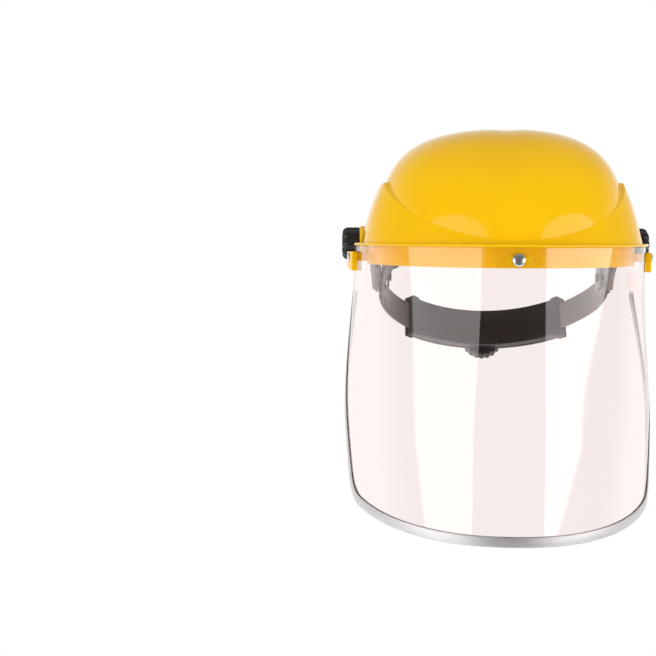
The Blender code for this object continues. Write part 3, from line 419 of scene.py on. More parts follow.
def weld(mesh):
    """Closes the seams and slivers that cutting and joining leave."""
    with editing(mesh) as bm:
        bmesh.ops.remove_doubles(bm, verts=bm.verts, dist=WELD)
        bmesh.ops.dissolve_degenerate(bm, edges=bm.edges, dist=WELD)
        open_edges = [edge for edge in bm.edges if edge.is_boundary]
        bmesh.ops.holes_fill(bm, edges=open_edges, sides=0)
        loose = [vert for vert in bm.verts if not vert.link_faces]
        bmesh.ops.delete(bm, geom=loose, context='VERTS')


def apply_modifiers(obj):
    """Bakes the modifiers into the mesh."""
    graph = bpy.context.evaluated_depsgraph_get()
    mesh = bpy.data.meshes.new_from_object(obj.evaluated_get(graph))
    old = obj.data
    obj.modifiers.clear()
    obj.data = mesh
    bpy.data.meshes.remove(old)
    weld(mesh)
    shade(mesh)


def combine(obj, tools):
    """Applies (operation, tool) Booleans in turn and removes the tools."""
    for operation, tool in tools:
        modifier = obj.modifiers.new(operation.lower(), 'BOOLEAN')
        modifier.operation = operation
        modifier.object = tool
        modifier.solver = 'EXACT'
    apply_modifiers(obj)
    for _, tool in tools:
        bpy.data.objects.remove(tool, do_unlink=True)


def sweep(name, us, section, place, mat=None):
    """Closed body whose points place(u, a, t) come from an outline section(u) at each station u."""
    points = []
    for u in us:
        points += [place(u, a, t) for a, t in section(u)]
    count = len(points) // len(us)
    faces = [tuple(range(count)), tuple(range(len(points) - 1, len(points) - count - 1, -1))]
    for i in range(len(us) - 1):
        for k in range(count):
            n = (k + 1) % count
            a = i * count
            faces.append((a + k, a + n, a + count + n, a + count + k))
    return make_object(name, points, faces, mat)


def turned(name, place, profile, mat=None, sides=ROUND_SIDES, shape=None):
    """Body turned about place's Z; profile is (radius, height), axis to axis or a closed loop."""
    points = []
    rings = []
    for radius, height in profile:
        if radius == 0:
            rings.append([len(points)] * sides)
            points.append(place @ Vector((0, 0, height)))
            continue
        rings.append(range(len(points), len(points) + sides))
        for side in range(sides):
            angle = 2 * math.pi * side / sides
            r = radius if shape is None else shape(radius, angle)
            points.append(place @ Vector((r * math.cos(angle), r * math.sin(angle), height)))
    faces = []
    for low, high in zip(rings, rings[1:]):
        for k in range(sides):
            n = (k + 1) % sides
            face = tuple(dict.fromkeys((low[k], low[n], high[n], high[k])))
            if len(face) > 2:
                faces.append(face)
    return make_object(name, points, faces, mat)


def rod(name, place, radius, low, high, mat=None):
    return turned(name, place, [(0, low), (radius, low), (radius, high), (0, high)], mat)


def drill(name, place, radius, wall):
    """Tool for a clearance hole through a wall and what lies behind it."""
    return rod(name, place, radius + FIT_GAP, -DRILL_REACH * wall, wall)


class PlanEllipse:
    """Ellipse seen from above, measured along its arc from the front; offsets run outwards."""

    def __init__(self, half_width, depth):
        self.half_width = half_width
        self.depth = depth
        self.angles = spread(0.0, PLAN_REACH, PLAN_STEPS)
        self.lengths = [0.0]
        for a, b in zip(self.angles, self.angles[1:]):
            middle = (a + b) / 2
            speed = math.hypot(half_width * math.cos(middle), depth * math.sin(middle))
            self.lengths.append(self.lengths[-1] + speed * (b - a))

    def angle(self, s):
        size = abs(s)
        k = min(max(bisect.bisect(self.lengths, size), 1), len(self.lengths) - 1)
        share = (size - self.lengths[k - 1]) / (self.lengths[k] - self.lengths[k - 1])
        angle = self.angles[k - 1] + share * (self.angles[k] - self.angles[k - 1])
        return math.copysign(angle, s)

    def length_at_y(self, y):
        angle = math.acos((VISOR_CENTRE_Y - y) / self.depth)
        k = bisect.bisect(self.angles, angle)
        share = (angle - self.angles[k - 1]) / (self.angles[k] - self.angles[k - 1])
        return self.lengths[k - 1] + share * (self.lengths[k] - self.lengths[k - 1])

    def point(self, s, offset, z, widen=0.0, shorten=0.0):
        angle = self.angle(s)
        a = self.half_width + widen
        b = self.depth - shorten
        normal = Vector((math.sin(angle) / a, -math.cos(angle) / b)).normalized()
        x = a * math.sin(angle) + normal.x * offset
        y = VISOR_CENTRE_Y - b * math.cos(angle) + normal.y * offset
        return Vector((x, y, z))

    def normal(self, s):
        angle = self.angle(s)
        x, y = math.sin(angle) / self.half_width, -math.cos(angle) / self.depth
        return Vector((x, y, 0)).normalized()


VISOR_PLAN = PlanEllipse(VISOR_HALF_WIDTH, VISOR_DEPTH)
BAND_PLAN = PlanEllipse(BAND_HALF_WIDTH, BAND_FRONT_REACH)
LIP_PLAN = PlanEllipse(LIP_HALF_WIDTH, VISOR_DEPTH + LIP_OVERHANG)
VISOR_END = VISOR_PLAN.length_at_y(VISOR_REAR_Y)
EAR_START = VISOR_PLAN.length_at_y(EAR_FRONT_Y)
EAR_END = EAR_START + EAR_DEPTH


def new_material(name, **values):
    """Material with one Principled shader; values are its sockets, with _ for a space."""
    mat = bpy.data.materials.new(name)
    mat.use_nodes = True
    shader = mat.node_tree.nodes["Principled BSDF"]
    for key, value in values.items():
        shader.inputs[key.replace("_", " ")].default_value = value
    return mat, mat.node_tree, shader


def feed(tree, value, place):
    """Links a socket to an input, or sets the input to a number."""
    if isinstance(value, bpy.types.NodeSocket):
        tree.links.new(value, place)
    else:
        place.default_value = value


def maths(tree, operation, *values, clamp=True):
    """Math node on sockets or numbers, held between 0 and 1 unless told otherwise."""
    node = tree.nodes.new("ShaderNodeMath")
    node.operation = operation
    node.use_clamp = clamp
    for value, place in zip(values, node.inputs):
        feed(tree, value, place)
    return node.outputs[0]


def blended(tree, factor, first, second):
    """Mixes two values, each a socket or a number."""
    node = tree.nodes.new("ShaderNodeMix")
    for value, place in ((factor, "Factor"), (first, "A"), (second, "B")):
        feed(tree, value, node.inputs[place])
    return node.outputs["Result"]


def noise(tree, scale, detail, stretch=(1, 1, 1)):
    """Noise in the object's own frame, with a scale per metre, stretched along its axes."""
    place = tree.nodes.new("ShaderNodeTexCoord")
    mapping = tree.nodes.new("ShaderNodeMapping")
    mapping.inputs["Scale"].default_value = stretch
    texture = tree.nodes.new("ShaderNodeTexNoise")
    texture.inputs["Scale"].default_value = scale
    texture.inputs["Detail"].default_value = detail
    tree.links.new(place.outputs["Object"], mapping.inputs["Vector"])
    tree.links.new(mapping.outputs["Vector"], texture.inputs["Vector"])
    return texture.outputs["Fac"]


def ramp(tree, value, low, high):
    """Maps the middle of a noise's range to a range of numbers."""
    node = tree.nodes.new("ShaderNodeMapRange")
    node.inputs["From Min"].default_value = NOISE_LOW
    node.inputs["From Max"].default_value = NOISE_HIGH
    node.inputs["To Min"].default_value = low
    node.inputs["To Max"].default_value = high
    tree.links.new(value, node.inputs["Value"])
    return node.outputs["Result"]


def colour_mix(tree, factor, first, second):
    node = tree.nodes.new("ShaderNodeMix")
    node.data_type = 'RGBA'
    node.inputs["A"].default_value = (*first, 1)
    node.inputs["B"].default_value = (*second, 1)
    tree.links.new(factor, node.inputs["Factor"])
    return node.outputs["Result"]


def add_bump(tree, shader, height, strength, distance):
    node = tree.nodes.new("ShaderNodeBump")
    node.inputs["Strength"].default_value = strength
    node.inputs["Distance"].default_value = distance
    tree.links.new(height, node.inputs["Height"])
    tree.links.new(node.outputs["Normal"], shader.inputs["Normal"])


def plastic(name, tones, rough, grain, depth, specular=0.5):
    """Moulded plastic: a slow drift of colour, uneven gloss and a fine grain."""
    mat, tree, shader = new_material(name, Specular_IOR_Level=specular)
    drift = ramp(tree, noise(tree, PLASTIC_DRIFT, 2), 0, 1)
    tree.links.new(colour_mix(tree, drift, *tones), shader.inputs["Base Color"])
    gloss = ramp(tree, noise(tree, PLASTIC_GLOSS, 4), *rough)
    tree.links.new(gloss, shader.inputs["Roughness"])
    add_bump(tree, shader, noise(tree, grain, 2), PLASTIC_BUMP, depth)
    return mat


def metal(name, colour, rough, grain, depth, stretch=(1, 1, 1)):
    """Metal with a drawn or brushed grain, stretched along its axes."""
    mat, tree, shader = new_material(name, Metallic=1.0)
    streaks = noise(tree, grain, 4, stretch)
    dull = tuple(c * METAL_DULL for c in colour)
    bright = tuple(min(c * METAL_BRIGHT, 1.0) for c in colour)
    tone = colour_mix(tree, ramp(tree, streaks, 0, 1), dull, bright)
    tree.links.new(tone, shader.inputs["Base Color"])
    tree.links.new(ramp(tree, streaks, *rough), shader.inputs["Roughness"])
    add_bump(tree, shader, streaks, METAL_BUMP, depth)
    return mat


def clear_sheet():
    """Clear polycarbonate with a faint warm tint and the slightest haze."""
    mat, tree, shader = new_material("clear_polycarbonate", Base_Color=(*SHEET_TINT, 1),
                                     IOR=SHEET_IOR, Transmission_Weight=1.0)
    haze = ramp(tree, noise(tree, SHEET_WAVES, 5), 0.0, SHEET_HAZE)
    tree.links.new(haze, shader.inputs["Roughness"])
    return mat


def sawn_edge():
    """Sawn edge of the clear sheet: frosted, and greyer than its faces."""
    mat, tree, shader = new_material("sawn_polycarbonate", IOR=SHEET_IOR,
                                     Transmission_Weight=SAWN_CLEARNESS)
    grain = noise(tree, SAWN_GRAIN, 3)
    tone = colour_mix(tree, ramp(tree, grain, 0, 1), *SAWN_TONES)
    tree.links.new(tone, shader.inputs["Base Color"])
    tree.links.new(ramp(tree, grain, *SAWN_ROUGH), shader.inputs["Roughness"])
    return mat


def foam():
    """Terry-covered foam: a soft pile with a pale sheen."""
    mat, tree, shader = new_material("sweatband_foam", Roughness=0.95, Sheen_Weight=0.35,
                                     Sheen_Roughness=0.5)
    pile = noise(tree, FOAM_PILE, 3)
    tone = colour_mix(tree, ramp(tree, pile, 0, 1), *FOAM_TONES)
    tree.links.new(tone, shader.inputs["Base Color"])
    add_bump(tree, shader, pile, FOAM_BUMP, FOAM_PILE_DEPTH)
    return mat


def finishes():
    mats = {name: plastic(name, **look) for name, look in PLASTICS.items()}
    mats.update((name, metal(name, **look)) for name, look in METALS.items())
    mats.update(clear_sheet=clear_sheet(), sawn_edge=sawn_edge(), sweatband_foam=foam())
    return mats


def settle(piece, body, node):
    """The piece rides on a body and stands for its node."""
    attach(piece, body)
    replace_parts(piece, node)
    return piece


def visor_point(s, z, offset):
    flare = smooth_step((-z - FLARE_START) / FLARE_LENGTH)
    return VISOR_PLAN.point(s, offset, z, VISOR_FLARE * flare, VISOR_FRONT_PULL * flare)


def edge_after(turn):
    """Place where the bottom's two arcs end when the long one turns through an angle."""
    rise = math.pi / 2 - VISOR_EDGE_LEAN
    s = VISOR_BOTTOM_FLAT + VISOR_BOTTOM_RADIUS * math.sin(turn)
    s += VISOR_CORNER_RADIUS * (math.sin(rise) - math.sin(turn))
    z = VISOR_BOTTOM_Z + VISOR_BOTTOM_RADIUS * (1 - math.cos(turn))
    z += VISOR_CORNER_RADIUS * (math.cos(turn) - math.cos(rise))
    return s, z


def bottom_turn():
    """Turn of the bottom's long arc that lets the leaning edge meet the rear tip."""
    low, high = 0.0, math.pi / 2 - VISOR_EDGE_LEAN
    tip_z = VISOR_TOP_Z - VISOR_REAR_DROP - VISOR_TIP
    for _ in range(HALVINGS):
        turn = (low + high) / 2
        s, z = edge_after(turn)
        if s + (tip_z - z) * math.tan(VISOR_EDGE_LEAN) > VISOR_END:
            high = turn
        else:
            low = turn
    return low


def edge_path():
    """Right half of the visor's free edge from the centre: (s, z, heading from the s axis)."""
    turn = bottom_turn()
    rise = math.pi / 2 - VISOR_EDGE_LEAN
    half_step = VISOR_BOTTOM_FLAT / (2 * EDGE_FLAT_STEPS + 1)
    flat = spread(half_step, VISOR_BOTTOM_FLAT, EDGE_FLAT_STEPS)
    path = [(s, VISOR_BOTTOM_Z, 0.0) for s in flat]
    arcs = ((VISOR_BOTTOM_RADIUS, 0.0, turn, EDGE_ARC_STEPS),
            (VISOR_CORNER_RADIUS, turn, rise, EDGE_CORNER_STEPS))
    for radius, start, end, steps in arcs:
        s, z, _ = path[-1]
        for a in spread(start, end, steps)[1:]:
            along = radius * (math.sin(a) - math.sin(start))
            up = radius * (math.cos(start) - math.cos(a))
            path.append((s + along, z + up, a))
    s, z, _ = path[-1]
    for edge_s in spread(s, VISOR_END, EDGE_RISE_STEPS)[1:]:
        path.append((edge_s, z + (edge_s - s) / math.tan(VISOR_EDGE_LEAN), rise))
    return path


VISOR_EDGE = edge_path()


def visor_low(s):
    size = abs(s)
    for (s0, z0, _), (s1, z1, _) in zip(VISOR_EDGE, VISOR_EDGE[1:]):
        if size <= s1:
            return z0 + (z1 - z0) * max(size - s0, 0.0) / (s1 - s0)
    return VISOR_EDGE[-1][1]


def visor_high(s):
    return VISOR_TOP_Z - VISOR_REAR_DROP * smooth_step((abs(s) - EAR_END) / VISOR_SHOULDER)


def front_rivet_frame():
    return looking((0, VISOR_CENTRE_Y - VISOR_DEPTH, FRONT_RIVET_Z), (0, -1, 0))


def side_rivet_frame(sign):
    s = sign * (EAR_START + SIDE_RIVET_BACK)
    return looking(visor_point(s, SIDE_RIVET_Z, EAR_SEAT), VISOR_PLAN.normal(s))


def ear_arm(name, sign, grow, extra_top):
    """Arm from the front band out to an ear, larger all round by grow and taller by extra_top."""
    low = EAR_TOP_Z - EAR_ARM_HEIGHT - grow
    high = EAR_TOP_Z - EMBED + extra_top
    inner = SEAT - BAND_SIDE_INSET - BAND_WALL / 2
    outline = [(low, inner), (high, inner), (high, FIT_GAP + EMBED), (low, FIT_GAP + EMBED)]
    front, rear = EAR_START + EMBED - grow, EAR_START + EAR_ARM_DEPTH + grow
    columns = [sign * s for s in spread(front, rear, 4)]
    return sweep(name, columns, lambda s: outline, visor_point)


def ear_leg(name, sign):
    """Leg outside the visor with rounded edges, thicker and shorter towards the rear."""
    def section(s):
        back = (abs(s) - EAR_START) / EAR_DEPTH
        inset = EMBED if back in (0.0, 1.0) else 0.0
        low = (EAR_BOTTOM_Z + EAR_BOTTOM_RISE * back + inset, FIT_GAP)
        high = (EAR_TOP_Z - inset, EAR_SEAT + EAR_SPLAY * back - inset)
        return rounded_box(low, high, EMBED)

    inside = spread(EAR_START + EMBED, EAR_END - EMBED, 12)
    columns = [sign * s for s in [EAR_START] + inside + [EAR_END]]
    return sweep(name, columns, section, visor_point)


def mark_sawn_faces(visor, mat):
    """Gives the faces across the sheet's thickness the sawn finish."""
    visor.data.materials.append(mat)
    for face in visor.data.polygons:
        x, y, _ = face.center
        y -= VISOR_CENTRE_Y
        outwards = Vector((x / VISOR_HALF_WIDTH ** 2, y / VISOR_DEPTH ** 2, 0)).normalized()
        face.material_index = int(abs(face.normal.dot(outwards)) < SAWN_FACING)


def build_visor(mat, edge_mat):
    shoulder = spread(EAR_END, EAR_END + VISOR_SHOULDER, 8)
    half = sorted([s for s, _, _ in VISOR_EDGE] + shoulder)
    columns = [-s for s in reversed(half)] + half

    def section(s):
        heights = spread(visor_low(s), visor_high(s), SHEET_ROWS)
        return [(z, 0.0) for z in heights] + [(z, -VISOR_THICK) for z in reversed(heights)]

    visor = sweep("visor_sheet", columns, section, visor_point, mat)
    front_y = front_rivet_frame().translation.y
    radius, half_slot = SLOT_HEIGHT / 2, (SLOT_LENGTH - SLOT_HEIGHT) / 2
    ends = arc((half_slot, 0), radius, -90, 90, 16) + arc((-half_slot, 0), radius, 90, 270, 16)
    reach = BAND_WALL + VISOR_THICK
    slot = sweep("slot_tool", (-reach, reach), lambda u: ends,
                 lambda u, x, z: Vector((x, front_y + u, FRONT_RIVET_Z + z)))
    tools = [('DIFFERENCE', slot)]
    for side, sign in SIDES:
        hole = drill(side + "_visor_hole", side_rivet_frame(sign), RIVET_SHANK, EAR_LEG)
        notch = ear_arm(side + "_notch", sign, FIT_GAP, EAR_ARM_HEIGHT)
        tools += [('DIFFERENCE', hole), ('DIFFERENCE', notch)]
    combine(visor, tools)
    mark_sawn_faces(visor, edge_mat)
    # Without caustics a clear sheet would cast a full shadow
    visor.visible_shadow = False
    return settle(visor, "crown", "visor")


def build_trim(mat):
    """Folded edging: a thin channel with a round fold along the visor's free edge."""
    outer = FIT_GAP + TRIM_WALL
    reach = TRIM_FACE - outer
    inner = -VISOR_THICK
    lip = arc((reach - TRIM_WALL / 2, FIT_GAP + TRIM_WALL / 2), TRIM_WALL / 2, 90, -90, 4)
    fold = arc((0.0, FIT_GAP), TRIM_WALL, 180, 90, 5)
    section = lip + [(-FIT_GAP, FIT_GAP), (-FIT_GAP, inner - FIT_GAP)]
    section += [(d, inner - t) for d, t in reversed(lip)]
    section += [(d - FIT_GAP, inner - t) for d, t in reversed(fold)]
    section += [(d - FIT_GAP, t) for d, t in fold]
    top = VISOR_EDGE[-1][1] - TRIM_TOP_GAP
    half = [station for station in VISOR_EDGE if station[1] < top]
    s, z, heading = VISOR_EDGE[-1]
    half.append((s - TRIM_TOP_GAP * math.tan(VISOR_EDGE_LEAN), top, heading))
    stations = [(-s, z, heading) for s, z, heading in reversed(half)] + half

    def place(station, d, t):
        s, z, heading = station
        inwards = -math.copysign(math.sin(heading), s)
        return visor_point(s + inwards * d, z + math.cos(heading) * d, t)

    trim = sweep("edge_trim", stations, lambda station: section, place, mat)
    return settle(trim, "crown", "visor_trim")


def wing_edge_z(angle):
    share = min(abs(angle) / WING_RISE_ANGLE, 1.0)
    return WING_FRONT_Z + (WING_SIDE_Z - WING_FRONT_Z) * share ** WING_RISE_POWER


def wing_proud(angle, z):
    """How far the wing stands off the dome: a lip that fades in front, and a flare at its foot."""
    aside = smooth_step(abs(angle) / WING_RISE_ANGLE)
    fade = WING_FRONT_SHARE + (1 - WING_FRONT_SHARE) * aside
    below = 1 - min(max(z / wing_edge_z(angle), 0.0), 1.0)
    start = smooth_step((abs(angle) - WING_LIP_START) / (WING_RISE_ANGLE - WING_LIP_START))
    lip = WING_TOP_PROUD * (WING_LIP_FRONT + (1 - WING_LIP_FRONT) * start)
    foot = fade * (WING_BASE_PROUD + LUG_BLEND * fade)
    return lip + (foot - lip) * below ** WING_FLARE_POWER


def dome_point(angle, lift, proud, wall):
    """Point of the dome at an elevation parameter, pushed out by proud and in by wall."""
    reach = (DOME_REAR_REACH if abs(angle) > math.pi / 2 else DOME_FRONT_REACH) - wall
    shrink = max(math.cos(lift), 0.0) ** (2 / DOME_POWER)
    a = (DOME_HALF_WIDTH - wall) * shrink
    b = reach * shrink
    normal = Vector((math.sin(angle) / max(a, TINY), -math.cos(angle) / max(b, TINY))).normalized()
    x = a * math.sin(angle) + normal.x * proud
    y = DOME_CENTRE_Y - b * math.cos(angle) + normal.y * proud
    z = (DOME_HEIGHT - wall) * max(math.sin(lift), 0.0) ** (2 / DOME_POWER)
    above = smooth_step((z - wing_edge_z(angle)) / WING_SIDE_Z)
    swell = 1 + REAR_RIM_SWELL * above * smooth_step((y - REAR_RIM_Y) / REAR_RIM_BLEND)
    groove = CREST_GROOVE * above * math.exp(-(x / CREST_GROOVE_WIDTH) ** 2)
    return Vector((x * swell, y, z * swell - groove))


def lift_of(z):
    return math.asin(min(z / DOME_HEIGHT, 1.0) ** (DOME_POWER / 2))


def shell_column(angle, wall):
    """Points from the dome's base, over the wing's edge, to the last row below the crest."""
    edge = wing_edge_z(angle)
    base = dome_point(angle, 0.0, wing_proud(angle, 0.0), wall)
    column = [Vector((base.x, base.y, LIP_BOTTOM_Z / 2))]
    for z in spread(0.0, edge, WING_ROWS)[1:]:
        column.append(dome_point(angle, lift_of(z), wing_proud(angle, z), wall))
    lip = wing_proud(angle, edge)
    radius = min(WING_ROUND, lip / 2)
    rounding = arc((radius, 0.0), radius, 180, 90, 4)[1:]
    for inwards, rise in rounding + [(lip - radius, radius), (lip, 2 * radius)]:
        column.append(dome_point(angle, lift_of(edge + rise), lip - inwards, wall))
    start = lift_of(edge + 2 * radius + WING_FILLET)
    lifts = spread(start, math.pi / 2, DOME_ROWS)[:-1]
    return column + [dome_point(angle, lift, 0.0, wall) for lift in lifts]


def build_shell_body(mat):
    angles = [2 * math.pi * (k + 0.5) / DOME_COLUMNS - math.pi for k in range(DOME_COLUMNS)]
    points = []
    for wall in (0.0, SHELL_WALL):
        for angle in angles:
            points += shell_column(angle, wall)
    rows = len(points) // (2 * DOME_COLUMNS)
    per_face = rows * DOME_COLUMNS
    crests = (len(points), len(points) + 1)
    points += [dome_point(0.0, math.pi / 2, 0.0, wall) for wall in (0.0, SHELL_WALL)]
    faces = []
    for i in range(DOME_COLUMNS):
        a = i * rows
        b = (i + 1) % DOME_COLUMNS * rows
        for base, top in zip((0, per_face), crests):
            for j in range(rows - 1):
                faces.append((base + a + j, base + b + j, base + b + j + 1, base + a + j + 1))
            faces.append((base + a + rows - 1, base + b + rows - 1, top))
        faces.append((a, b, per_face + b, per_face + a))
    return make_object("moulded_crown", points, faces, mat)


def crown_lip():
    """Lip round the browguard's front, drawn in towards its ends."""
    end = LIP_PLAN.length_at_y(LIP_REAR_Y)

    def section(s):
        left = 1 - smooth_step((abs(s) - end + LIP_DEPTH) / LIP_DEPTH)
        depth = LIP_DEPTH * (LIP_END_SHARE + (1 - LIP_END_SHARE) * left)
        half = LIP_THICK / 2
        return rounded_box((-depth, -half), (0.0, half), LIP_THICK * LIP_ROUND_SHARE, 4)

    return sweep("lip", spread(-end, end, LIP_COLUMNS), section, LIP_PLAN.point)


def crown_band():
    """Band below the lip that the visor lies on."""
    end = BAND_PLAN.length_at_y(BAND_REAR_Y)
    low, high = (LIP_BOTTOM_Z - BAND_HEIGHT, -BAND_WALL), (LIP_BOTTOM_Z + EMBED, 0.0)
    outline = rounded_box(low, high, EMBED)
    return sweep("band", spread(-end, end, BAND_COLUMNS), lambda s: outline,
                 lambda s, z, t: BAND_PLAN.point(s, t, z))


def build_crown(mat):
    """One moulding: dome with wings, lip, front band, ears and pivot lugs."""
    shell = build_shell_body(mat)
    reach = 2 * DOME_REAR_REACH
    square = rounded_box((-reach, -reach), (reach, reach), FIT_GAP)
    behind = sweep("rear_tool", (SHELL_REAR_Y, reach), lambda u: square,
                   lambda u, x, z: Vector((x, u, z)))
    tools = [('DIFFERENCE', behind), ('UNION', crown_lip()), ('UNION', crown_band())]
    for side, sign in SIDES:
        seat = side_rivet_frame(sign)
        spot_face = rod(side + "_spot_face", seat, SIDE_RIVET_HEAD + FIT_GAP, 0.0, EAR_LEG)
        pivot = looking((0, 0, 0), (sign, 0, 0))
        corner = (LUG_RADIUS - LUG_ROUND, PIVOT_HALF_WIDTH - LUG_ROUND)
        lug = [(0, LUG_INNER), (LUG_RADIUS, LUG_INNER)]
        lug += arc(corner, LUG_ROUND, 0, 90, 4)
        lug.append((0, PIVOT_HALF_WIDTH))
        recess = rod(side + "_recess", pivot, LUG_RADIUS + FIT_GAP, DOME_HALF_WIDTH / 2, LUG_INNER)
        bore = rod(side + "_bore", pivot, PIVOT_BOLT_RADIUS + FIT_GAP, DOME_HALF_WIDTH, KNOB_INNER)
        tools += [
            ('UNION', ear_leg(side + "_ear", sign)),
            ('UNION', ear_arm(side + "_arm", sign, 0.0, 0.0)),
            ('DIFFERENCE', spot_face),
            ('DIFFERENCE', drill(side + "_ear_hole", seat, RIVET_SHANK, EAR_LEG)),
            ('UNION', turned(side + "_lug", pivot, lug)),
            ('DIFFERENCE', recess),
            ('DIFFERENCE', bore),
        ]
    front_hole = drill("front_hole", front_rivet_frame(), RIVET_SHANK, BAND_WALL)
    combine(shell, tools + [('DIFFERENCE', front_hole)])
    return settle(shell, "crown", "crown_shell")


def build_rivet(name, place, head, dome, grip, mats):
    """Domed rivet with a rolled rim, and the washer its tail is upset on."""
    rim = dome / 3
    profile = [(0, FIT_GAP + dome)]
    profile += [(head * math.sin(a), FIT_GAP + rim + (dome - rim) * math.cos(a))
                for a in spread(0, math.pi / 2, 12)[1:]]
    tail = -grip - 2 * FIT_GAP - WASHER_THICK
    profile += [(head, FIT_GAP), (RIVET_SHANK, FIT_GAP), (RIVET_SHANK, tail - FIT_GAP)]
    profile += [(RIVET_TAIL_RADIUS, tail - FIT_GAP), (RIVET_TAIL_END, tail - FIT_GAP - RIVET_TAIL)]
    profile.append((0, tail - FIT_GAP - RIVET_TAIL))
    rivet = turned(name + "_rivet_head", place, profile, mats["rivet_chrome"])
    settle(rivet, "crown", name + "_rivet")
    corner = WASHER_THICK / 4
    outline = rounded_box((RIVET_SHANK + FIT_GAP, tail), (head, tail + WASHER_THICK), corner)
    washer = turned(name + "_flat_washer", place, outline + outline[:1], mats["plain_steel"])
    settle(washer, "crown", name + "_washer")


def build_rivets(mats):
    # A flat washer stands off the curved inside of the band by about this much
    curve_gap = FRONT_RIVET_HEAD ** 2 * BAND_HALF_WIDTH / VISOR_DEPTH ** 2
    build_rivet("front", front_rivet_frame(), FRONT_RIVET_HEAD, FRONT_RIVET_DOME,
                BAND_WALL - SEAT + curve_gap, mats)
    for side, sign in SIDES:
        build_rivet(side + "_visor", side_rivet_frame(sign), SIDE_RIVET_HEAD, SIDE_RIVET_DOME,
                    EAR_SEAT + VISOR_THICK, mats)


def knob_shape(radius, angle):
    if radius < KNOB_DISH_RADIUS:
        return radius
    wave = 0.5 - 0.5 * math.cos(KNOB_LOBES * angle)
    return radius - KNOB_LOBE_DEPTH * wave ** 2


def build_knobs(mat):
    """Lobed clamping knobs with a rounded end and a shallow dish."""
    for side, sign in SIDES:
        low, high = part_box(side + "_knob")
        end = max(abs(low[0]), abs(high[0]))
        nut_low, nut_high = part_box(side + "_knob_nut")
        nut_end = max(abs(nut_low[0]), abs(nut_high[0]))
        nut_radius = (nut_high[2] - nut_low[2]) / 2 + FIT_GAP
        socket_end, dish = nut_end + FIT_GAP, end - KNOB_DISH_DEPTH
        profile = [(0, socket_end), (nut_radius, socket_end), (nut_radius, KNOB_INNER)]
        profile += arc((KNOB_RADIUS - LUG_ROUND, KNOB_INNER + LUG_ROUND), LUG_ROUND, -90, 0, 3)
        profile += arc((KNOB_RADIUS - KNOB_ROUND, end - KNOB_ROUND), KNOB_ROUND, 0, 90, 8)
        profile += [(KNOB_DISH_RADIUS + KNOB_DISH_DEPTH, end), (KNOB_DISH_RADIUS - EMBED, dish)]
        profile.append((0, dish))
        knob = turned(side + "_clamp_knob", looking((0, 0, 0), (sign, 0, 0)), profile, mat,
                      KNOB_SIDES, knob_shape)
        settle(knob, side + "_knob", side + "_knob")


def ring_point(angle, offset, w):
    """Headband ring in space: an ellipse in front, a circle behind; angle is from the front."""
    depth = RING_FRONT if abs(angle) <= math.pi / 2 else RING_HALF_WIDTH
    normal = Vector((math.sin(angle) / RING_HALF_WIDTH, -math.cos(angle) / depth)).normalized()
    x = RING_HALF_WIDTH * math.sin(angle) + normal.x * offset
    y = -depth * math.cos(angle) + normal.y * offset
    return RING_FRAME @ Vector((x, y, w))


def build_sweatband(mat):
    """Padded brow pad: a crowned foam strip whose cover is drawn in along a stitched seam."""
    back = -BAND_STRIP_THICK - FIT_GAP

    def section(a):
        end = math.sqrt(max(1 - (abs(a) / PAD_END_ANGLE) ** PAD_END_POWER, 0.0))
        half = PAD_HEIGHT / 2 * (PAD_END_HEIGHT + (1 - PAD_END_HEIGHT) * end)
        thick = PAD_THICK * (PAD_END_THICK + (1 - PAD_END_THICK) * end)
        outline = []
        for k in range(PAD_SIDES):
            turn = 2 * math.pi * k / PAD_SIDES
            across, through = math.cos(turn), math.sin(turn)
            w = half * math.copysign(abs(across) ** PAD_EDGE_POWER, across)
            inwards = max(through, 0.0) ** PAD_CROWN_POWER
            depth = back - thick * inwards
            if inwards > PAD_SEAM_FROM:
                off_seam = (abs(w) / half - PAD_SEAM_PLACE) / PAD_SEAM_WIDTH
                depth += PAD_SEAM * math.exp(-off_seam ** 2)
            if through < 0:
                depth -= PAD_BACK_STEP
            outline.append((w, depth))
        return outline

    angles = spread(-PAD_END_ANGLE, PAD_END_ANGLE, PAD_COLUMNS)
    pad = sweep("brow_pad", angles, section, lambda a, w, t: ring_point(a, t, w), mat)
    return settle(pad, "headband", "sweatband")


def dial_shape(radius, angle):
    if radius < DIAL_DISH_RADIUS + DIAL_ROUND:
        return radius
    wave = max(math.cos(DIAL_RIBS * angle), -DIAL_RIB_VALLEY)
    return radius - DIAL_RIB_DEPTH * (1 - wave) / (1 + DIAL_RIB_VALLEY)


def build_dial(mat):
    """Ribbed rear dial with a dished face."""
    place = RING_FRAME @ looking((0, 0, -DIAL_DROP), (0, 1, 0))
    inverse = place.inverted()
    solid = frame["nodes"]["ratchet_knob"].data
    heights = [(inverse @ Vector(vertex.co)).z for vertex in solid.vertices]
    low, top = min(heights), max(heights)
    rim = top - DIAL_DISH_DEPTH
    hole, roof = SCREW_HEAD + FIT_GAP, low + 2 * DIAL_ROUND
    profile = [(hole, rim - 2 * EMBED), (hole, roof),
               (DIAL_DISH_RADIUS, roof), (DIAL_DISH_RADIUS, low)]
    profile += arc((DIAL_RADIUS - EMBED, low + EMBED), EMBED, -90, 0, 3)
    profile += arc((DIAL_RADIUS - DIAL_ROUND, top - DIAL_ROUND), DIAL_ROUND, 0, 90, 8)
    profile += [(DIAL_DISH_RADIUS + EMBED, top), (DIAL_DISH_RADIUS - EMBED, rim)]
    profile += [(hole + FIT_GAP, rim), profile[0]]
    dial = turned("ribbed_dial", place, profile, mat, DIAL_SIDES, dial_shape)
    return settle(dial, "ratchet_knob", "ratchet_knob")


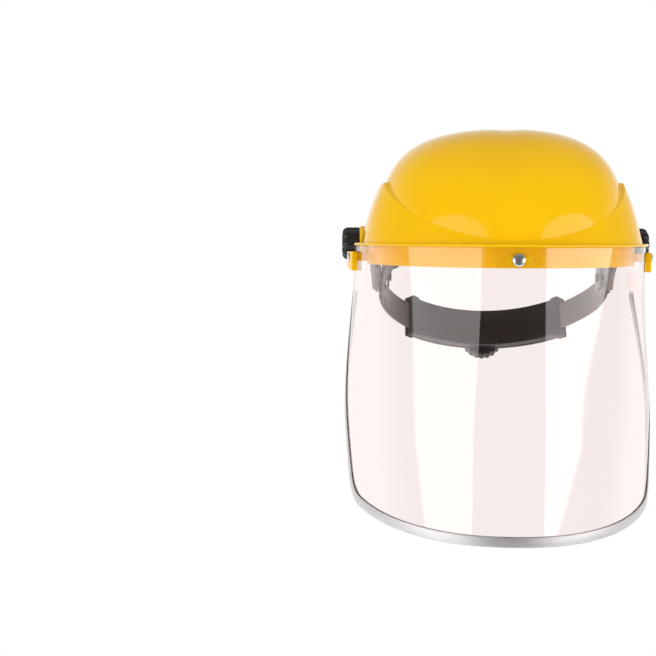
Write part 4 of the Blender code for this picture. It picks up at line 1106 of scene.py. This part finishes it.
def dress(node, slot, mat, additions=()):
    """Copy of a node's solid with anything added, flat faces merged and edges rounded."""
    piece = bpy.data.objects.new("fine_" + node, frame["nodes"][node].data.copy())
    bpy.context.scene.collection.objects.link(piece)
    with editing(piece.data) as bm:
        bmesh.ops.remove_doubles(bm, verts=bm.verts, dist=MERGE)
    combine(piece, [('UNION', addition) for addition in additions])
    mesh = piece.data
    with editing(mesh) as bm:
        bmesh.ops.dissolve_limit(bm, angle_limit=FLAT_ANGLE, verts=bm.verts, edges=bm.edges)
    mesh.materials.clear()
    mesh.materials.append(mat)
    for face in mesh.polygons:
        face.material_index = 0
    rounding = piece.modifiers.new("rounding", 'BEVEL')
    rounding.width = EDGE_ROUND
    rounding.segments = EDGE_ROUND_STEPS
    rounding.limit_method = 'ANGLE'
    rounding.angle_limit = ROUNDED_ANGLE
    apply_modifiers(piece)
    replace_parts(piece, node)
    return piece


def bracket_flange(sign):
    """Front flange of a pivot bracket, which follows the plate's edge down to its foot."""
    stud = RING_FRAME @ Vector((0, STUD_V, 0))
    foot_top = stud.z + FOOT_HEIGHT / 2
    foot_front = stud.y - FOOT_WIDTH / 2
    bottom = stud.z - FOOT_HEIGHT / 2 + FLANGE_THICK

    def section(z):
        down = (FLANGE_TOP_Z - z) / (FLANGE_TOP_Z - bottom)
        front = -BRACKET_RADIUS + smooth_step(z / foot_top) * (foot_front + BRACKET_RADIUS)
        outer = FLANGE_OUTER + (FLANGE_OUTER_END - FLANGE_OUTER) * down
        return rounded_box((FLANGE_INNER, front), (outer, front + FLANGE_THICK), EMBED)

    return sweep("flange", spread(FLANGE_TOP_Z, bottom, 16), section,
                 lambda z, x, y: Vector((sign * x, y, z)))


def build_rest(mats):
    """Every other node keeps its solid's shape, with rounded edges."""
    record = frame["record"]
    slot_of = {part["node"]: part["material_slot"] for part in record["subparts"]}
    bodies = record["behaviour"]["bodies"]
    body_of = {node: body for body, nodes in bodies.items() for node in nodes}
    done = {node for piece in bpy.data.objects for node in piece.get("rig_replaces", [])}
    brackets = {side + "_pivot_bracket": sign for side, sign in SIDES}
    for node in sorted(set(slot_of) - done):
        additions = [bracket_flange(brackets[node])] if node in brackets else []
        # The brackets take the lighter copy of the headgear plastic, painted light standing for
        # their lit front faces
        finish = "painted_lit_bracket_plastic" if node in brackets else slot_of[node]
        piece = dress(node, slot_of[node], mats[finish], additions)
        if node in ("left_strap", "right_strap"):
            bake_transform(piece)
        else:
            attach(piece, body_of[node])


def softbox_mask(tree, slant):
    """Strength over a lamp's face: an arch above, and a slanted outer edge below its springing."""
    calc = partial(maths, tree)
    axes = tree.nodes.new("ShaderNodeSeparateXYZ")
    face = tree.nodes.new("ShaderNodeNewGeometry")
    tree.links.new(face.outputs["Parametric"], axes.inputs[0])
    across, rise = axes.outputs["X"], axes.outputs["Y"]
    if slant > 0:
        across = calc('SUBTRACT', 1.0, across)
    off_centre = calc('ABSOLUTE', calc('MULTIPLY_ADD', across, 2.0, -1.0, clamp=False))
    above = calc('DIVIDE', calc('SUBTRACT', rise, SOFTBOX_SPRING), 1 - SOFTBOX_SPRING)
    arch = calc('SUBTRACT', 1.0, calc('POWER', off_centre, 2.0))
    arch = calc('SUBTRACT', arch, calc('POWER', above, 2.0))
    below = calc('DIVIDE', calc('SUBTRACT', SOFTBOX_SPRING, rise), SOFTBOX_SPRING)
    side = calc('SUBTRACT', across, calc('MULTIPLY', below, abs(slant)))
    return calc('MULTIPLY', calc('MINIMUM', arch, side), SOFTBOX_CRISP)


def softbox(name, start, end, slant, radiance):
    """Soft area light that fills a range of azimuths as seen from the shield."""
    middle = (start + end) / 2
    towards = Vector((math.sin(middle), -math.cos(middle), 0))
    place = SOFTBOX_AIM + SOFTBOX_DISTANCE * towards
    place.z = (SOFTBOX_TOP + SOFTBOX_BOTTOM) / 2
    lamp = bpy.data.lights.new(name, 'AREA')
    lamp.shape = 'RECTANGLE'
    width = 2 * SOFTBOX_DISTANCE * math.tan((end - start) / 2)
    height = SOFTBOX_TOP - SOFTBOX_BOTTOM
    lamp.size = width
    lamp.size_y = height
    lamp.energy = radiance * math.pi * width * height
    lamp.use_nodes = True
    tree = lamp.node_tree
    tree.links.new(softbox_mask(tree, slant), tree.nodes["Emission"].inputs["Strength"])
    obj = bpy.data.objects.new(name, lamp)
    obj.matrix_world = looking(place, towards)
    obj.visible_camera = False
    bpy.context.scene.collection.objects.link(obj)


def build_world():
    """Surround: white where it is seen, dim in front of the shield for gloss, and an even fill."""
    world = bpy.data.worlds.new("studio")
    world.use_nodes = True
    bpy.context.scene.world = world
    tree = world.node_tree
    place = tree.nodes.new("ShaderNodeTexCoord")
    mirrored = ROOM_DARK
    for direction, power, level in WALLS:
        toward = tree.nodes.new("ShaderNodeVectorMath")
        toward.operation = 'DOT_PRODUCT'
        toward.inputs[1].default_value = direction
        tree.links.new(place.outputs["Generated"], toward.inputs[0])
        facing = maths(tree, 'MAXIMUM', toward.outputs["Value"], 0.0)
        wall = maths(tree, 'MULTIPLY', maths(tree, 'POWER', facing, power), level, clamp=False)
        mirrored = maths(tree, 'ADD', wall, mirrored, clamp=False)
    mirrored = maths(tree, 'MINIMUM', mirrored, WHITE)
    path = tree.nodes.new("ShaderNodeLightPath")
    glossy = path.outputs["Glossy Depth"]
    lit = blended(tree, maths(tree, 'MINIMUM', glossy, 1.0), ROOM_FILL, mirrored)
    bounced = maths(tree, 'ADD', glossy, path.outputs["Diffuse Depth"])
    background = tree.nodes["Background"]
    background.inputs["Color"].default_value = (1, 1, 1, 1)
    tree.links.new(blended(tree, bounced, WHITE, lit), background.inputs["Strength"])


def build_floor():
    """Pale floor well below the shield, white where it is looked at but for its shadows."""
    half = FLOOR_HALF_SIDE
    corners = [(x * half, y * half, FLOOR_Z) for x, y in ((-1, -1), (1, -1), (1, 1), (-1, 1))]
    paint = (FLOOR_PAINT, FLOOR_PAINT, FLOOR_PAINT, 1)
    mat, tree, shader = new_material("studio_floor", Base_Color=paint, Roughness=FLOOR_ROUGH,
                                     Emission_Color=(1, 1, 1, 1))
    path = tree.nodes.new("ShaderNodeLightPath")
    seen = maths(tree, 'MAXIMUM', path.outputs["Is Camera Ray"], path.outputs["Is Glossy Ray"])
    seen = maths(tree, 'MAXIMUM', seen, path.outputs["Is Transmission Ray"])
    tree.links.new(maths(tree, 'MULTIPLY', seen, FLOOR_GLOW), shader.inputs["Emission Strength"])
    make_object("studio_floor", corners, [(0, 1, 2, 3)], mat)


def build_camera():
    """Camera of the photograph, level but for a slight roll."""
    place = Vector((-CAMERA_DISTANCE * math.sin(CAMERA_ORBIT),
                    -CAMERA_DISTANCE * math.cos(CAMERA_ORBIT), CAMERA_HEIGHT))
    yaw, flat = CAMERA_YAW, math.cos(CAMERA_PITCH)
    ahead = Vector((math.sin(yaw) * flat, math.cos(yaw) * flat, -math.sin(CAMERA_PITCH)))
    level = Vector((math.cos(yaw), -math.sin(yaw), 0))
    upright = level.cross(ahead)
    right = math.cos(CAMERA_ROLL) * level + math.sin(CAMERA_ROLL) * upright
    up = math.cos(CAMERA_ROLL) * upright - math.sin(CAMERA_ROLL) * level
    lens = bpy.data.cameras.new("camera")
    lens.sensor_width = SENSOR
    lens.lens = SENSOR * FOCAL_PIXELS / IMAGE_SIDE
    camera = bpy.data.objects.new("camera", lens)
    turn = Matrix((right, up, -ahead)).transposed().to_4x4()
    camera.matrix_world = Matrix.Translation(place) @ turn
    bpy.context.scene.collection.objects.link(camera)
    bpy.context.scene.camera = camera


def build_studio():
    bpy.context.scene.view_settings.view_transform = 'Standard'
    build_world()
    build_floor()
    for name, look in SOFTBOXES.items():
        softbox(name, *look)
    build_camera()


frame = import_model()
mats = finishes()
build_crown(mats["yellow_plastic"])
build_visor(mats["clear_sheet"], mats["sawn_edge"])
build_trim(mats["trim_aluminium"])
build_rivets(mats)
build_knobs(mats["black_plastic"])
build_sweatband(mats["sweatband_foam"])
build_dial(mats["black_plastic"])
build_rest(mats)
build_studio()
